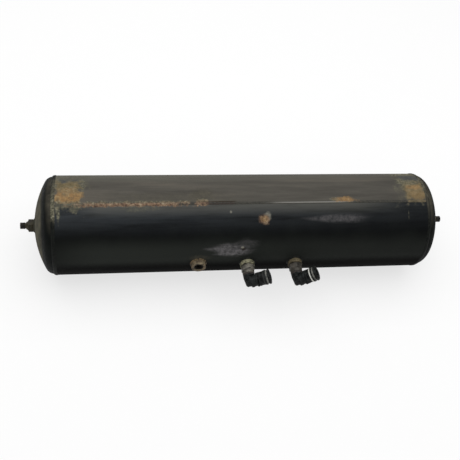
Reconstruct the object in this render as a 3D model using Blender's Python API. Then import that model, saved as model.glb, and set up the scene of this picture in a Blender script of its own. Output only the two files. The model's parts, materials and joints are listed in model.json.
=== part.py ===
"""Compressed-air receiver tank of a commercial vehicle, with two push-in swivel elbows and two test points.

The tank lies along X. Its three threaded ports point along -Y. The origin is on the axis at mid-length.
Units are metres. A turned piece is a closed outline of (radius, height) points spun about its own Z.
"""

import math

import bmesh
import bpy
from mathutils import Matrix, Vector

# Clearance left between two pieces that touch, are welded, or run in each other.
GAP = 0.0003

# Facets round a full turn: tank, fittings, small inner pieces.
TANK_FACETS = 40
FITTING_FACETS = 20
SMALL_FACETS = 12

# Shell, rolled from one sheet and closed by a butt weld along its length.
SHELL_RADIUS = 0.123
SHELL_WALL = 0.0025
SHELL_LENGTH = 0.928
SEAM_ANGLE = math.radians(76.8)
SEAM_SLIT = 0.002
SEAM_BEAD_WIDTH = 0.007
SEAM_BEAD_HEIGHT = 0.001

# Dished heads, each with a straight flange that is slipped inside the shell.
HEAD_WALL = 0.003
HEAD_CROWN_RADIUS = 0.227
HEAD_KNUCKLE_RADIUS = 0.022
HEAD_FLANGE = 0.0042
HEAD_LAP = 0.018
HEAD_BEAD_LEG = 0.006
HEAD_BEAD_OVERLAP = 0.0035
HEAD_BEAD_HEIGHT = 0.0009

# Threaded bosses, M22 x 1.5, drawn with a plain bore at the thread's inner diameter.
THREAD_BORE = 0.0102
THREAD_CHAMFER = 0.0028
PORT_SPACING = 0.122
PORT_SHIFT = 0.002
PORT_BOSS_RADIUS = 0.018
PORT_BOSS_HEIGHT = 0.012
PORT_BOSS_INSIDE = 0.003
PORT_WELD_LEG = 0.004
END_BOSS_RADIUS = 0.017
END_BOSS_HEIGHT = 0.002
END_BOSS_LENGTH = 0.013
END_WELD_LEG = 0.0035

# Hexagon stud of an elbow. Heights are measured from the shell's surface along the port.
HEX_ACROSS_FLATS = 0.030
HEX_LENGTH = 0.0142
HEX_CHAMFER = 0.0012
STUD_THREAD_LENGTH = 0.0115
STUD_COLLAR_RADIUS = 0.0148
STUD_COLLAR_LENGTH = 0.0095
SOCKET_RADIUS = 0.0098
SOCKET_DEPTH = 0.0157
FLOW_BORE = 0.0055
SWIVEL_SEAL_HEIGHT = 0.002
SWIVEL_SEAL_GROOVE_DEPTH = 0.0019
SWIVEL_SEAL_LEVEL = 0.0030
CLIP_HEIGHT = 0.0014
CLIP_GROOVE_DEPTH = 0.0013
CLIP_LEVEL = 0.0102

# Bent body of an elbow. Reaches are measured from the port's axis along the outlet, whose drum lies a little
# above the stud.
ELBOW_ANGLES = (math.radians(25), math.radians(37))
NECK_RADIUS = 0.0143
CORNER_RADIUS = 0.0147
OUTLET_FLOW_BORE = 0.0050
NECK_OVERRUN = 0.0017
RISE_OVERRUN = 0.0009
OUTLET_LIFT = 0.0026
OUTLET_WALL = 0.0047
OUTLET_TAPER_START = 0.002
OUTLET_TAPER_END = 0.013
BODY_REACH = 0.036
TUBE_RADIUS = 0.008
SOCKET_START = 0.017
SEAL_START = 0.022
POCKET_START = 0.026
SEAL_SECTION = 0.0021
BACKUP_THICKNESS = 0.0015
GRAB_WIDTH = 0.0045
GRAB_LENGTH = 0.0047
TUBE_WALL = 0.0022
SLEEVE_WALL = 0.0009
SLEEVE_LENGTH = 0.0227
MARKER_WIDTH = 0.003
MARKER_STEP = 0.0008
COLLAR_STEP = 0.0014
COLLAR_WIDTH = 0.0124
COLLAR_GROOVE_DEPTH = 0.0014
COLLAR_RECESS_PLAY = 0.0006
COLLAR_RECESS_DEPTH = 0.0035
RELEASE_WALL = 0.0018
RELEASE_RIM_WIDTH = 0.0046
RELEASE_RIM_THICKNESS = 0.003
RELEASE_TRAVEL = 0.0015

# Test point in the middle of a head. Lengths are measured from the boss's face.
POINT_HEX_LENGTH = 0.0125
POINT_NOSE_LENGTH = 0.0055
POINT_NOSE_RADIUS = 0.009
NIPPLE_RADIUS = 0.0070
NIPPLE_LENGTH = 0.0125
NIPPLE_NECK = 0.0025
VALVE_CHAMBER_RADIUS = 0.0048
VALVE_SEAT_LEVEL = 0.008
VALVE_BORE = 0.0024
VALVE_HEAD_THICKNESS = 0.0017
VALVE_SEAL_THICKNESS = 0.0007
VALVE_STEM_RADIUS = 0.0018
VALVE_STEM_LENGTH = 0.020
VALVE_PLAY = 0.0004
SPRING_WIRE_RADIUS = 0.0004
SPRING_COIL_RADIUS = 0.0034
SPRING_TURNS = 5
RETAINER_THICKNESS = 0.0012
RETAINER_HOLE = 0.0022
CAP_WALL = 0.0009
CAP_END = 0.0015

PORT_XS = [PORT_SHIFT + step * PORT_SPACING for step in (-1, 0, 1)]
HEAD_RADIUS = SHELL_RADIUS - SHELL_WALL - GAP
# Distance from the shell's end to the centre of the crown's sphere, and to the top of the dome.
CROWN_CENTRE = HEAD_FLANGE - math.sqrt(
    (HEAD_CROWN_RADIUS - HEAD_KNUCKLE_RADIUS) ** 2 - (HEAD_RADIUS - HEAD_KNUCKLE_RADIUS) ** 2
)
HEAD_DEPTH = CROWN_CENTRE + HEAD_CROWN_RADIUS
STUD_RADIUS = THREAD_BORE - GAP
STUD_TOP = PORT_BOSS_HEIGHT + GAP + HEX_LENGTH + STUD_COLLAR_LENGTH
# What holds the tube is built outwards from it: grab ring, pocket, wall, then the rings on the outside.
SLEEVE_RADIUS = TUBE_RADIUS - TUBE_WALL
POCKET_RADIUS = TUBE_RADIUS + GRAB_WIDTH
OUTLET_RADIUS = POCKET_RADIUS + OUTLET_WALL
OUTLET_HEIGHT = STUD_TOP + OUTLET_LIFT + OUTLET_RADIUS
MARKER_RADIUS = OUTLET_RADIUS + MARKER_STEP
COLLAR_RADIUS = OUTLET_RADIUS + COLLAR_STEP
RELEASE_RIM_RADIUS = TUBE_RADIUS + RELEASE_RIM_WIDTH
COLLAR_RECESS_RADIUS = RELEASE_RIM_RADIUS + COLLAR_RECESS_PLAY


def clear_scene():
    for old in list(bpy.data.objects):
        bpy.data.objects.remove(old, do_unlink=True)


def paint(name, colour, roughness, metallic):
    """A Principled material."""
    made = bpy.data.materials.new(name)
    made.use_nodes = True
    shader = made.node_tree.nodes["Principled BSDF"]
    shader.inputs["Base Color"].default_value = (*colour, 1)
    shader.inputs["Roughness"].default_value = roughness
    shader.inputs["Metallic"].default_value = metallic
    return made


def add(name, mesh_or_curve, parent, finish):
    """Puts a mesh or a curve in the scene under an empty, with its finish."""
    piece = bpy.data.objects.new(name, mesh_or_curve)
    bpy.context.scene.collection.objects.link(piece)
    piece.parent = parent
    piece.data.materials.append(finish)
    return piece


def marker(name, place, turn):
    """An empty that carries the pieces of one sub-assembly."""
    empty = bpy.data.objects.new(name, None)
    bpy.context.scene.collection.objects.link(empty)
    empty.matrix_world = Matrix.Translation(place) @ turn
    return empty


def mesh_from(name, shape):
    """Turns a bmesh into a mesh with smooth round faces and sharp edges."""
    bmesh.ops.remove_doubles(shape, verts=shape.verts, dist=1e-6)
    bmesh.ops.recalc_face_normals(shape, faces=shape.faces)
    mesh = bpy.data.meshes.new(name)
    shape.to_mesh(mesh)
    shape.free()
    mesh.shade_smooth()
    mesh.set_sharp_from_angle(angle=math.radians(30))
    return mesh


def spun(outline, facets):
    """A bmesh of (radius, height) points spun about Z. An outline that is off the axis closes on itself."""
    shape = bmesh.new()
    points = [shape.verts.new((radius, 0, height)) for radius, height in outline]
    edges = [shape.edges.new(pair) for pair in zip(points, points[1:])]
    if outline[0][0] > 0:
        edges.append(shape.edges.new((points[-1], points[0])))
    bmesh.ops.spin(
        shape,
        geom=points + edges,
        cent=(0, 0, 0),
        axis=(0, 0, 1),
        angle=math.tau,
        steps=facets,
        use_merge=True,
    )
    return shape


def turned(name, outline, parent, finish, facets=FITTING_FACETS):
    return add(name, mesh_from(name, spun(outline, facets)), parent, finish)


def ring(inner, outer, low, high):
    """The outline of a plain ring."""
    return [(inner, low), (outer, low), (outer, high), (inner, high)]


def facets_clear_of(shaft, bore):
    """Facets that a ring needs so that the flats of its bore stay clear of the shaft in it."""
    return max(SMALL_FACETS, math.ceil(math.pi / math.acos(shaft / bore)))


def round_ring(centre, height, section, sides=6):
    """The outline of an O-ring."""
    steps = [math.tau * (side + 0.5) / sides for side in range(sides)]
    return [(centre + section * math.cos(a), height + section * math.sin(a)) for a in steps]


def arc(centre, radius, start, end, steps):
    """Points on an arc in the (radius, height) plane. Angles run from the radial direction towards +Z."""
    turns = [start + (end - start) * step / steps for step in range(steps + 1)]
    return [(centre[0] + radius * math.cos(a), centre[1] + radius * math.sin(a)) for a in turns]


def helper(name, mesh, parent):
    """A cutter, which is not part of the object."""
    cutter = bpy.data.objects.new(name, mesh)
    bpy.context.scene.collection.objects.link(cutter)
    cutter.parent = parent
    cutter.hide_render = True
    cutter.display_type = "WIRE"
    return cutter


def carve(piece, cutter, operation="DIFFERENCE", solver="EXACT"):
    change = piece.modifiers.new(cutter.name, "BOOLEAN")
    change.operation = operation
    change.solver = solver
    change.object = cutter


def hexagon(piece, low, high):
    """Mills the widest part of a turned piece to a hexagon."""
    shape = bmesh.new()
    bmesh.ops.create_cone(
        shape,
        cap_ends=True,
        segments=6,
        radius1=HEX_ACROSS_FLATS / math.sqrt(3),
        radius2=HEX_ACROSS_FLATS / math.sqrt(3),
        depth=high - low,
        matrix=Matrix.Translation((0, 0, (low + high) / 2)),
    )
    cutter = helper(piece.name + "_hexagon", mesh_from(piece.name + "_hexagon", shape), piece.parent)
    carve(piece, cutter, "INTERSECT")


def block(name, size, place, turn, parent=None):
    """A box-shaped cutter."""
    shape = bmesh.new()
    bmesh.ops.create_cube(shape, size=1)
    bmesh.ops.scale(shape, vec=size, verts=shape.verts)
    bmesh.ops.transform(shape, matrix=Matrix.Translation(place) @ turn, verts=shape.verts)
    return helper(name, mesh_from(name, shape), parent)


def make_shell(tank, ports, enamel):
    half = SHELL_LENGTH / 2
    outline = ring(SHELL_RADIUS - SHELL_WALL, SHELL_RADIUS, -half, half)
    shell = turned("shell", outline, tank, enamel, TANK_FACETS)
    for number, port in enumerate(ports, 1):
        hole = ring_cutter(f"port_hole_{number}", PORT_BOSS_RADIUS + GAP, port)
        carve(shell, hole)
    outward = Vector((0, -math.cos(SEAM_ANGLE), math.sin(SEAM_ANGLE)))
    across_wall = Matrix.Rotation(math.pi / 2 - SEAM_ANGLE, 4, "X")
    slit = block(
        "seam_slit",
        (SHELL_LENGTH * 1.1, SEAM_SLIT, SHELL_WALL * 4),
        outward * SHELL_RADIUS,
        across_wall,
    )
    carve(shell, slit)
    return outward, across_wall


def ring_cutter(name, radius, port):
    """A round cutter that goes right through the shell's wall."""
    low = -4 * SHELL_WALL
    shape = spun([(0, low), (radius, low), (radius, SHELL_WALL), (0, SHELL_WALL)], FITTING_FACETS)
    return helper(name, mesh_from(name, shape), port)


def make_seam_weld(outward, across_wall, bead):
    """A T-shaped bead: its root fills the slit and its cap lies on both edges of the sheet."""
    half = SHELL_LENGTH / 2 - HEAD_BEAD_OVERLAP - 2 * GAP
    root = SEAM_SLIT / 2 - GAP
    cap = SEAM_BEAD_WIDTH / 2
    top = GAP + SEAM_BEAD_HEIGHT
    outline = [
        (-root, -SHELL_WALL),
        (root, -SHELL_WALL),
        (root, GAP),
        (cap, GAP),
        (cap / 2, top),
        (-cap / 2, top),
        (-cap, GAP),
        (-root, GAP),
    ]
    shape = bmesh.new()
    end = shape.faces.new([shape.verts.new((-half, across, height)) for across, height in outline])
    grown = bmesh.ops.extrude_face_region(shape, geom=[end])["geom"]
    moved = [item for item in grown if isinstance(item, bmesh.types.BMVert)]
    bmesh.ops.translate(shape, vec=(2 * half, 0, 0), verts=moved)
    seat = Matrix.Translation(outward * SHELL_RADIUS) @ across_wall
    bmesh.ops.transform(shape, matrix=seat, verts=shape.verts)
    add("shell_seam_weld", mesh_from("shell_seam_weld", shape), None, bead)


def dome(radius, offset=0.0):
    """Height of the crown's outer surface above the shell's end at a distance from the axis."""
    return CROWN_CENTRE + math.sqrt((HEAD_CROWN_RADIUS + offset) ** 2 - radius**2)


def head_curve(inset, hole, knuckle_steps, crown_steps):
    """The head's meridian, from the flange to the boss hole, at a depth inside the outer surface."""
    knuckle = (HEAD_RADIUS - HEAD_KNUCKLE_RADIUS, HEAD_FLANGE)
    turn = math.acos(knuckle[0] / (HEAD_CROWN_RADIUS - HEAD_KNUCKLE_RADIUS))
    crown = HEAD_CROWN_RADIUS - inset
    points = arc(knuckle, HEAD_KNUCKLE_RADIUS - inset, 0, turn, knuckle_steps)
    last = math.acos(hole / crown)
    return points + arc((0, CROWN_CENTRE), crown, turn, last, crown_steps)[1:]


def make_head(side, end, enamel, bead):
    hole = END_BOSS_RADIUS + GAP
    outside = [(HEAD_RADIUS, -HEAD_LAP)] + head_curve(0, hole, 3, 3)
    inside = [(HEAD_RADIUS - HEAD_WALL, -HEAD_LAP)] + head_curve(HEAD_WALL, hole, 2, 3)
    turned(f"head_{side}", outside + inside[::-1], end, enamel, TANK_FACETS)
    low = HEAD_RADIUS + GAP
    rim = SHELL_RADIUS + GAP
    crest = SHELL_RADIUS + HEAD_BEAD_HEIGHT
    outline = [
        (low, GAP),
        (low, HEAD_BEAD_LEG),
        (SHELL_RADIUS - GAP, HEAD_BEAD_LEG * 0.7),
        (crest, HEAD_BEAD_LEG * 0.2),
        (crest, -HEAD_BEAD_OVERLAP / 2),
        (rim, -HEAD_BEAD_OVERLAP),
        (rim, GAP),
    ]
    turned(f"head_weld_{side}", outline, end, bead, TANK_FACETS)


def threaded_boss(name, radius, low, face, parent, finish):
    """A round boss with a chamfered bore that holds a fitting's thread and its seal."""
    edge = 0.0008
    outline = [
        (THREAD_BORE, low),
        (radius, low),
        (radius, face - edge),
        (radius - edge, face),
        (THREAD_BORE + THREAD_CHAMFER, face),
        (THREAD_BORE, face - THREAD_CHAMFER),
    ]
    turned(name, outline, parent, finish)


def thread_seal(name, face, parent, rubber):
    """The O-ring between a boss's chamfer, the thread's undercut and the hexagon above it."""
    reach = (THREAD_CHAMFER + 2 * GAP) / (2 + math.sqrt(2))
    outline = round_ring(STUD_RADIUS + reach, face + GAP - reach, reach - GAP)
    facets = facets_clear_of(STUD_RADIUS, min(radius for radius, _ in outline))
    turned(name, outline, parent, rubber, facets)


def make_port(number, port, enamel, bead):
    low = -SHELL_WALL - PORT_BOSS_INSIDE
    threaded_boss(f"port_boss_{number}", PORT_BOSS_RADIUS, low, PORT_BOSS_HEIGHT, port, enamel)
    inner = PORT_BOSS_RADIUS + GAP
    outer = inner + PORT_WELD_LEG
    waist = (inner + PORT_WELD_LEG * 0.45, PORT_WELD_LEG * 0.6)
    outline = [(inner, GAP), (outer, GAP), waist, (inner, PORT_WELD_LEG)]
    shape = spun(outline, FITTING_FACETS)
    for point in shape.verts:
        point.co.z -= SHELL_RADIUS - math.sqrt(SHELL_RADIUS**2 - point.co.y**2)
    add(f"port_boss_weld_{number}", mesh_from(f"port_boss_weld_{number}", shape), port, bead)


def make_stud(number, port, zinc, steel, rubber):
    """The fixed half of an elbow: hexagon stud with a socket, its seal and its retaining clip."""
    foot = PORT_BOSS_HEIGHT + GAP
    hex_top = foot + HEX_LENGTH
    corner = HEX_ACROSS_FLATS / math.sqrt(3)
    floor = STUD_TOP - SOCKET_DEPTH
    clip = floor + CLIP_LEVEL
    groove = SOCKET_RADIUS + CLIP_GROOVE_DEPTH
    chamfered = HEX_ACROSS_FLATS / 2
    outline = [
        (FLOW_BORE, foot - STUD_THREAD_LENGTH),
        (STUD_RADIUS, foot - STUD_THREAD_LENGTH),
        (STUD_RADIUS, foot),
        (chamfered, foot),
        (corner, foot + HEX_CHAMFER),
        (corner, hex_top - HEX_CHAMFER),
        (chamfered, hex_top),
        (STUD_COLLAR_RADIUS, hex_top),
        (STUD_COLLAR_RADIUS, STUD_TOP),
        (SOCKET_RADIUS, STUD_TOP),
        (SOCKET_RADIUS, clip + CLIP_HEIGHT / 2 + GAP),
        (groove, clip + CLIP_HEIGHT / 2 + GAP),
        (groove, clip - CLIP_HEIGHT / 2 - GAP),
        (SOCKET_RADIUS, clip - CLIP_HEIGHT / 2 - GAP),
        (SOCKET_RADIUS, floor),
        (FLOW_BORE, floor),
    ]
    stud = turned(f"elbow_{number}_stud", outline, port, zinc)
    hexagon(stud, foot - STUD_THREAD_LENGTH * 2, STUD_TOP + HEX_LENGTH)
    thread_seal(f"elbow_{number}_stud_seal", PORT_BOSS_HEIGHT, port, rubber)
    clip_bore = SOCKET_RADIUS - CLIP_GROOVE_DEPTH
    clip_outline = ring(clip_bore, groove - GAP, clip - CLIP_HEIGHT / 2, clip + CLIP_HEIGHT / 2)
    facets = facets_clear_of(clip_bore - GAP, clip_bore)
    turned(f"elbow_{number}_swivel_clip", clip_outline, port, steel, facets)
    return floor


def make_elbow_body(number, swivel, stud_floor, plastic):
    """The bent body: a spigot in the stud's socket, a neck, a round corner and the outlet."""
    name = f"elbow_{number}_body"
    spigot = SOCKET_RADIUS - GAP
    low = stud_floor + GAP
    seal_low = stud_floor + SWIVEL_SEAL_LEVEL
    seal_high = seal_low + SWIVEL_SEAL_HEIGHT + 2 * GAP
    clip = stud_floor + CLIP_LEVEL
    clip_floor = spigot - CLIP_GROOVE_DEPTH
    seal_floor = spigot - SWIVEL_SEAL_GROOVE_DEPTH
    neck_outline = [
        (0, low),
        (spigot, low),
        (spigot, seal_low),
        (seal_floor, seal_low),
        (seal_floor, seal_high),
        (spigot, seal_high),
        (spigot, clip - CLIP_HEIGHT / 2 - GAP),
        (clip_floor, clip - CLIP_HEIGHT / 2 - GAP),
        (clip_floor, clip + CLIP_HEIGHT / 2 + GAP),
        (spigot, clip + CLIP_HEIGHT / 2 + GAP),
        (spigot, STUD_TOP + GAP),
        (NECK_RADIUS, STUD_TOP + GAP),
        (NECK_RADIUS, OUTLET_HEIGHT + NECK_OVERRUN),
        (0, OUTLET_HEIGHT + NECK_OVERRUN),
    ]
    body = turned(name, neck_outline, swivel, plastic)
    along = Matrix.Translation((0, 0, OUTLET_HEIGHT)) @ Matrix.Rotation(math.pi / 2, 4, "Y")
    corner = arc((0, 0), CORNER_RADIUS, -math.pi / 2, 0, 5)
    outlet_outline = [(0, corner[0][1])] + corner[1:] + [
        (CORNER_RADIUS, OUTLET_TAPER_START),
        (OUTLET_RADIUS, OUTLET_TAPER_END),
        (OUTLET_RADIUS, BODY_REACH),
        (0, BODY_REACH),
    ]
    outlet = spun(outlet_outline, FITTING_FACETS)
    bmesh.ops.transform(outlet, matrix=along, verts=outlet.verts)
    carve(body, helper(name + "_outlet", mesh_from(name + "_outlet", outlet), swivel), "UNION")
    socket = TUBE_RADIUS + GAP
    seal_bore = socket + SEAL_SECTION + GAP
    bore_outline = [
        (0, -OUTLET_FLOW_BORE / 2),
        (OUTLET_FLOW_BORE, -OUTLET_FLOW_BORE / 2),
        (OUTLET_FLOW_BORE, SOCKET_START),
        (socket, SOCKET_START),
        (socket, SEAL_START),
        (seal_bore, SEAL_START),
        (seal_bore, POCKET_START),
        (POCKET_RADIUS, POCKET_START),
        (POCKET_RADIUS, BODY_REACH * 1.2),
        (0, BODY_REACH * 1.2),
    ]
    bore = spun(bore_outline, FITTING_FACETS)
    bmesh.ops.transform(bore, matrix=along, verts=bore.verts)
    carve(body, helper(name + "_bore", mesh_from(name + "_bore", bore), swivel))
    under = low - FLOW_BORE
    above = OUTLET_HEIGHT + RISE_OVERRUN
    rise_outline = [(0, under), (FLOW_BORE, under), (FLOW_BORE, above), (0, above)]
    rise = spun(rise_outline, FITTING_FACETS)
    # The exact solver leaves open edges where the rise meets the bore, so this one cut uses the other.
    carve(body, helper(name + "_rise", mesh_from(name + "_rise", rise), swivel), solver="MANIFOLD")


def make_outlet(number, outlet, finishes):
    """What the outlet holds, from the bottom of the tube socket to the mouth."""
    name = f"elbow_{number}_"
    socket = TUBE_RADIUS + GAP
    free = socket + GAP
    turned(
        name + "tube_seal",
        ring(free, socket + SEAL_SECTION, SEAL_START + GAP, POCKET_START - GAP),
        outlet,
        finishes["rubber"],
        SMALL_FACETS,
    )
    backup_low = POCKET_START + GAP
    backup_high = backup_low + BACKUP_THICKNESS
    pocket = POCKET_RADIUS - GAP
    turned(
        name + "backup_ring",
        ring(free, pocket, backup_low, backup_high),
        outlet,
        finishes["plastic"],
        SMALL_FACETS,
    )
    grab_low = backup_high + GAP
    grab_high = grab_low + GRAB_LENGTH
    grab_outline = [
        (free, grab_low + GRAB_LENGTH * 0.35),
        (pocket - GRAB_LENGTH * 0.35, grab_low),
        (pocket, grab_low),
        (pocket, grab_high),
        (free + GRAB_LENGTH * 0.3, grab_high),
    ]
    turned(name + "grab_ring", grab_outline, outlet, finishes["steel"], SMALL_FACETS)
    sleeve_low = SOCKET_START + GAP
    sleeve_outline = [
        (SLEEVE_RADIUS - SLEEVE_WALL, sleeve_low),
        (TUBE_RADIUS, sleeve_low),
        (TUBE_RADIUS, sleeve_low + SLEEVE_WALL),
        (SLEEVE_RADIUS, sleeve_low + SLEEVE_WALL),
        (SLEEVE_RADIUS, sleeve_low + SLEEVE_LENGTH),
        (SLEEVE_RADIUS - SLEEVE_WALL, sleeve_low + SLEEVE_LENGTH),
    ]
    turned(name + "support_sleeve", sleeve_outline, outlet, finishes["brass"], SMALL_FACETS)
    marker_low = BODY_REACH + GAP
    marker_high = marker_low + MARKER_WIDTH
    spigot_inner = free + RELEASE_WALL + GAP
    turned(
        name + "marker_ring",
        ring(pocket + GAP, MARKER_RADIUS, marker_low, marker_high),
        outlet,
        finishes["marker"],
    )
    collar_low = marker_high + GAP
    collar_high = collar_low + COLLAR_WIDTH
    band = COLLAR_WIDTH / 3
    slope = COLLAR_GROOVE_DEPTH / 2
    floor = COLLAR_RADIUS - COLLAR_GROOVE_DEPTH
    collar_outline = [
        (spigot_inner, grab_high + GAP),
        (pocket, grab_high + GAP),
        (pocket, collar_low),
        (COLLAR_RADIUS, collar_low),
        (COLLAR_RADIUS, collar_low + band - slope),
        (floor, collar_low + band),
        (floor, collar_low + 2 * band - slope),
        (COLLAR_RADIUS, collar_low + 2 * band),
        (COLLAR_RADIUS, collar_high - slope),
        (COLLAR_RADIUS - slope, collar_high),
        (COLLAR_RECESS_RADIUS, collar_high),
        (COLLAR_RECESS_RADIUS, collar_high - COLLAR_RECESS_DEPTH),
        (spigot_inner, collar_high - COLLAR_RECESS_DEPTH),
    ]
    turned(name + "collar", collar_outline, outlet, finishes["plastic"])
    rim_low = collar_high - COLLAR_RECESS_DEPTH + RELEASE_TRAVEL + GAP
    release_outline = [
        (free, grab_high + RELEASE_TRAVEL + GAP),
        (free + RELEASE_WALL, grab_high + RELEASE_TRAVEL + GAP),
        (free + RELEASE_WALL, rim_low),
        (RELEASE_RIM_RADIUS, rim_low),
        (RELEASE_RIM_RADIUS, rim_low + RELEASE_RIM_THICKNESS),
        (free + RELEASE_WALL / 2, rim_low + RELEASE_RIM_THICKNESS),
        (free, rim_low + RELEASE_RIM_THICKNESS - RELEASE_WALL / 2),
    ]
    turned(name + "release_ring", release_outline, outlet, finishes["plastic"])


def make_elbow(number, place, port, angle, finishes):
    stud_floor = make_stud(number, port, finishes["zinc"], finishes["steel"], finishes["rubber"])
    upright = Matrix.Rotation(math.pi / 2, 4, "X") @ Matrix.Rotation(angle, 4, "Z")
    swivel = marker(f"elbow_{number}_swivel_axis", place, upright)
    make_elbow_body(number, swivel, stud_floor, finishes["plastic"])
    seal_low = stud_floor + SWIVEL_SEAL_LEVEL + GAP
    seal_floor = SOCKET_RADIUS - GAP - SWIVEL_SEAL_GROOVE_DEPTH
    turned(
        f"elbow_{number}_swivel_seal",
        ring(seal_floor + GAP, SOCKET_RADIUS - GAP, seal_low, seal_low + SWIVEL_SEAL_HEIGHT),
        swivel,
        finishes["rubber"],
        facets_clear_of(seal_floor, seal_floor + GAP),
    )
    outlet_place = Vector(place) + upright @ Vector((0, 0, OUTLET_HEIGHT))
    sideways = upright @ Matrix.Rotation(math.pi / 2, 4, "Y")
    outlet = marker(f"elbow_{number}_outlet_axis", outlet_place, sideways)
    make_outlet(number, outlet, finishes)


def make_end_boss(side, end, enamel, bead):
    low = HEAD_DEPTH + END_BOSS_HEIGHT - END_BOSS_LENGTH
    threaded_boss(f"end_boss_{side}", END_BOSS_RADIUS, low, HEAD_DEPTH + END_BOSS_HEIGHT, end, enamel)
    inner = END_BOSS_RADIUS + GAP
    outer = inner + END_WELD_LEG
    outline = [
        (inner, dome(inner, GAP)),
        (outer, dome(outer, GAP)),
        (inner + END_WELD_LEG * 0.3, HEAD_DEPTH + END_BOSS_HEIGHT * 0.6),
        (inner, HEAD_DEPTH + END_BOSS_HEIGHT * 0.7),
    ]
    turned(f"end_boss_weld_{side}", outline, end, bead)


def make_spring(name, low, high, parent, steel):
    """A helical spring as a round wire along computed points."""
    curve = bpy.data.curves.new(name, "CURVE")
    curve.dimensions = "3D"
    curve.bevel_depth = SPRING_WIRE_RADIUS
    curve.bevel_resolution = 0
    curve.use_fill_caps = True
    points_per_turn = 8
    steps = SPRING_TURNS * points_per_turn
    line = curve.splines.new("POLY")
    line.points.add(steps)
    start = low + SPRING_WIRE_RADIUS + GAP
    rise = (high - low - 2 * SPRING_WIRE_RADIUS - 2 * GAP) / steps
    for step, point in enumerate(line.points):
        turn = math.tau * step / points_per_turn
        point.co = (
            SPRING_COIL_RADIUS * math.cos(turn),
            SPRING_COIL_RADIUS * math.sin(turn),
            start + rise * step,
            1,
        )
    add(name, curve, parent, steel)


def make_test_point(side, end, finishes):
    """A test point: hexagon body, seal, sprung valve pin, spring retainer and dust cap."""
    name = f"test_point_{side}_"
    face = HEAD_DEPTH + END_BOSS_HEIGHT
    foot = face + GAP
    inner_end = foot - STUD_THREAD_LENGTH
    hex_top = foot + POINT_HEX_LENGTH
    nose = hex_top + POINT_NOSE_LENGTH
    tip = nose + NIPPLE_LENGTH
    seat = face + VALVE_SEAT_LEVEL
    corner = HEX_ACROSS_FLATS / math.sqrt(3)
    retainer_low = inner_end + RETAINER_THICKNESS
    retainer_high = retainer_low + RETAINER_THICKNESS
    lip = VALVE_CHAMBER_RADIUS - 3 * GAP
    body_outline = [
        (lip, inner_end),
        (STUD_RADIUS, inner_end),
        (STUD_RADIUS, foot),
        (HEX_ACROSS_FLATS / 2, foot),
        (corner, foot + HEX_CHAMFER),
        (corner, hex_top),
        (POINT_NOSE_RADIUS, nose),
        (NIPPLE_RADIUS, nose),
        (NIPPLE_RADIUS, tip - HEX_CHAMFER),
        (NIPPLE_RADIUS - HEX_CHAMFER, tip),
        (VALVE_BORE, tip),
        (VALVE_BORE, seat),
        (VALVE_CHAMBER_RADIUS, seat),
        (VALVE_CHAMBER_RADIUS, retainer_low - GAP),
        (lip, retainer_low - GAP),
    ]
    body = turned(name + "body", body_outline, end, finishes["brass"])
    hexagon(body, inner_end - STUD_THREAD_LENGTH, tip + HEX_LENGTH)
    thread_seal(name + "seal", face, end, finishes["rubber"])
    turned(
        name + "spring_retainer",
        ring(RETAINER_HOLE, VALVE_CHAMBER_RADIUS - GAP, retainer_low, retainer_high),
        end,
        finishes["steel"],
        SMALL_FACETS,
    )
    seal_high = seat - GAP
    seal_low = seal_high - VALVE_SEAL_THICKNESS
    head_high = seal_low - GAP
    head_low = head_high - VALVE_HEAD_THICKNESS
    head_radius = VALVE_CHAMBER_RADIUS - VALVE_PLAY
    pin_outline = [
        (0, head_low),
        (head_radius, head_low),
        (head_radius, head_high),
        (VALVE_STEM_RADIUS, head_high),
        (VALVE_STEM_RADIUS, head_high + VALVE_STEM_LENGTH),
        (0, head_high + VALVE_STEM_LENGTH),
    ]
    turned(name + "valve_pin", pin_outline, end, finishes["brass"], SMALL_FACETS)
    turned(
        name + "valve_seal",
        ring(VALVE_STEM_RADIUS + GAP, head_radius, seal_low, seal_high),
        end,
        finishes["rubber"],
        SMALL_FACETS,
    )
    make_spring(name + "valve_spring", retainer_high, head_low, end, finishes["steel"])
    cap_low = nose + NIPPLE_NECK
    bore = NIPPLE_RADIUS + GAP
    outside = bore + CAP_WALL
    roof = tip + GAP
    cap_outline = [
        (0, roof),
        (bore, roof),
        (bore, cap_low),
        (outside, cap_low),
        (outside, roof + CAP_END - CAP_WALL),
        (outside - CAP_WALL, roof + CAP_END),
        (0, roof + CAP_END),
    ]
    turned(name + "cap", cap_outline, end, finishes["plastic"])


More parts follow.
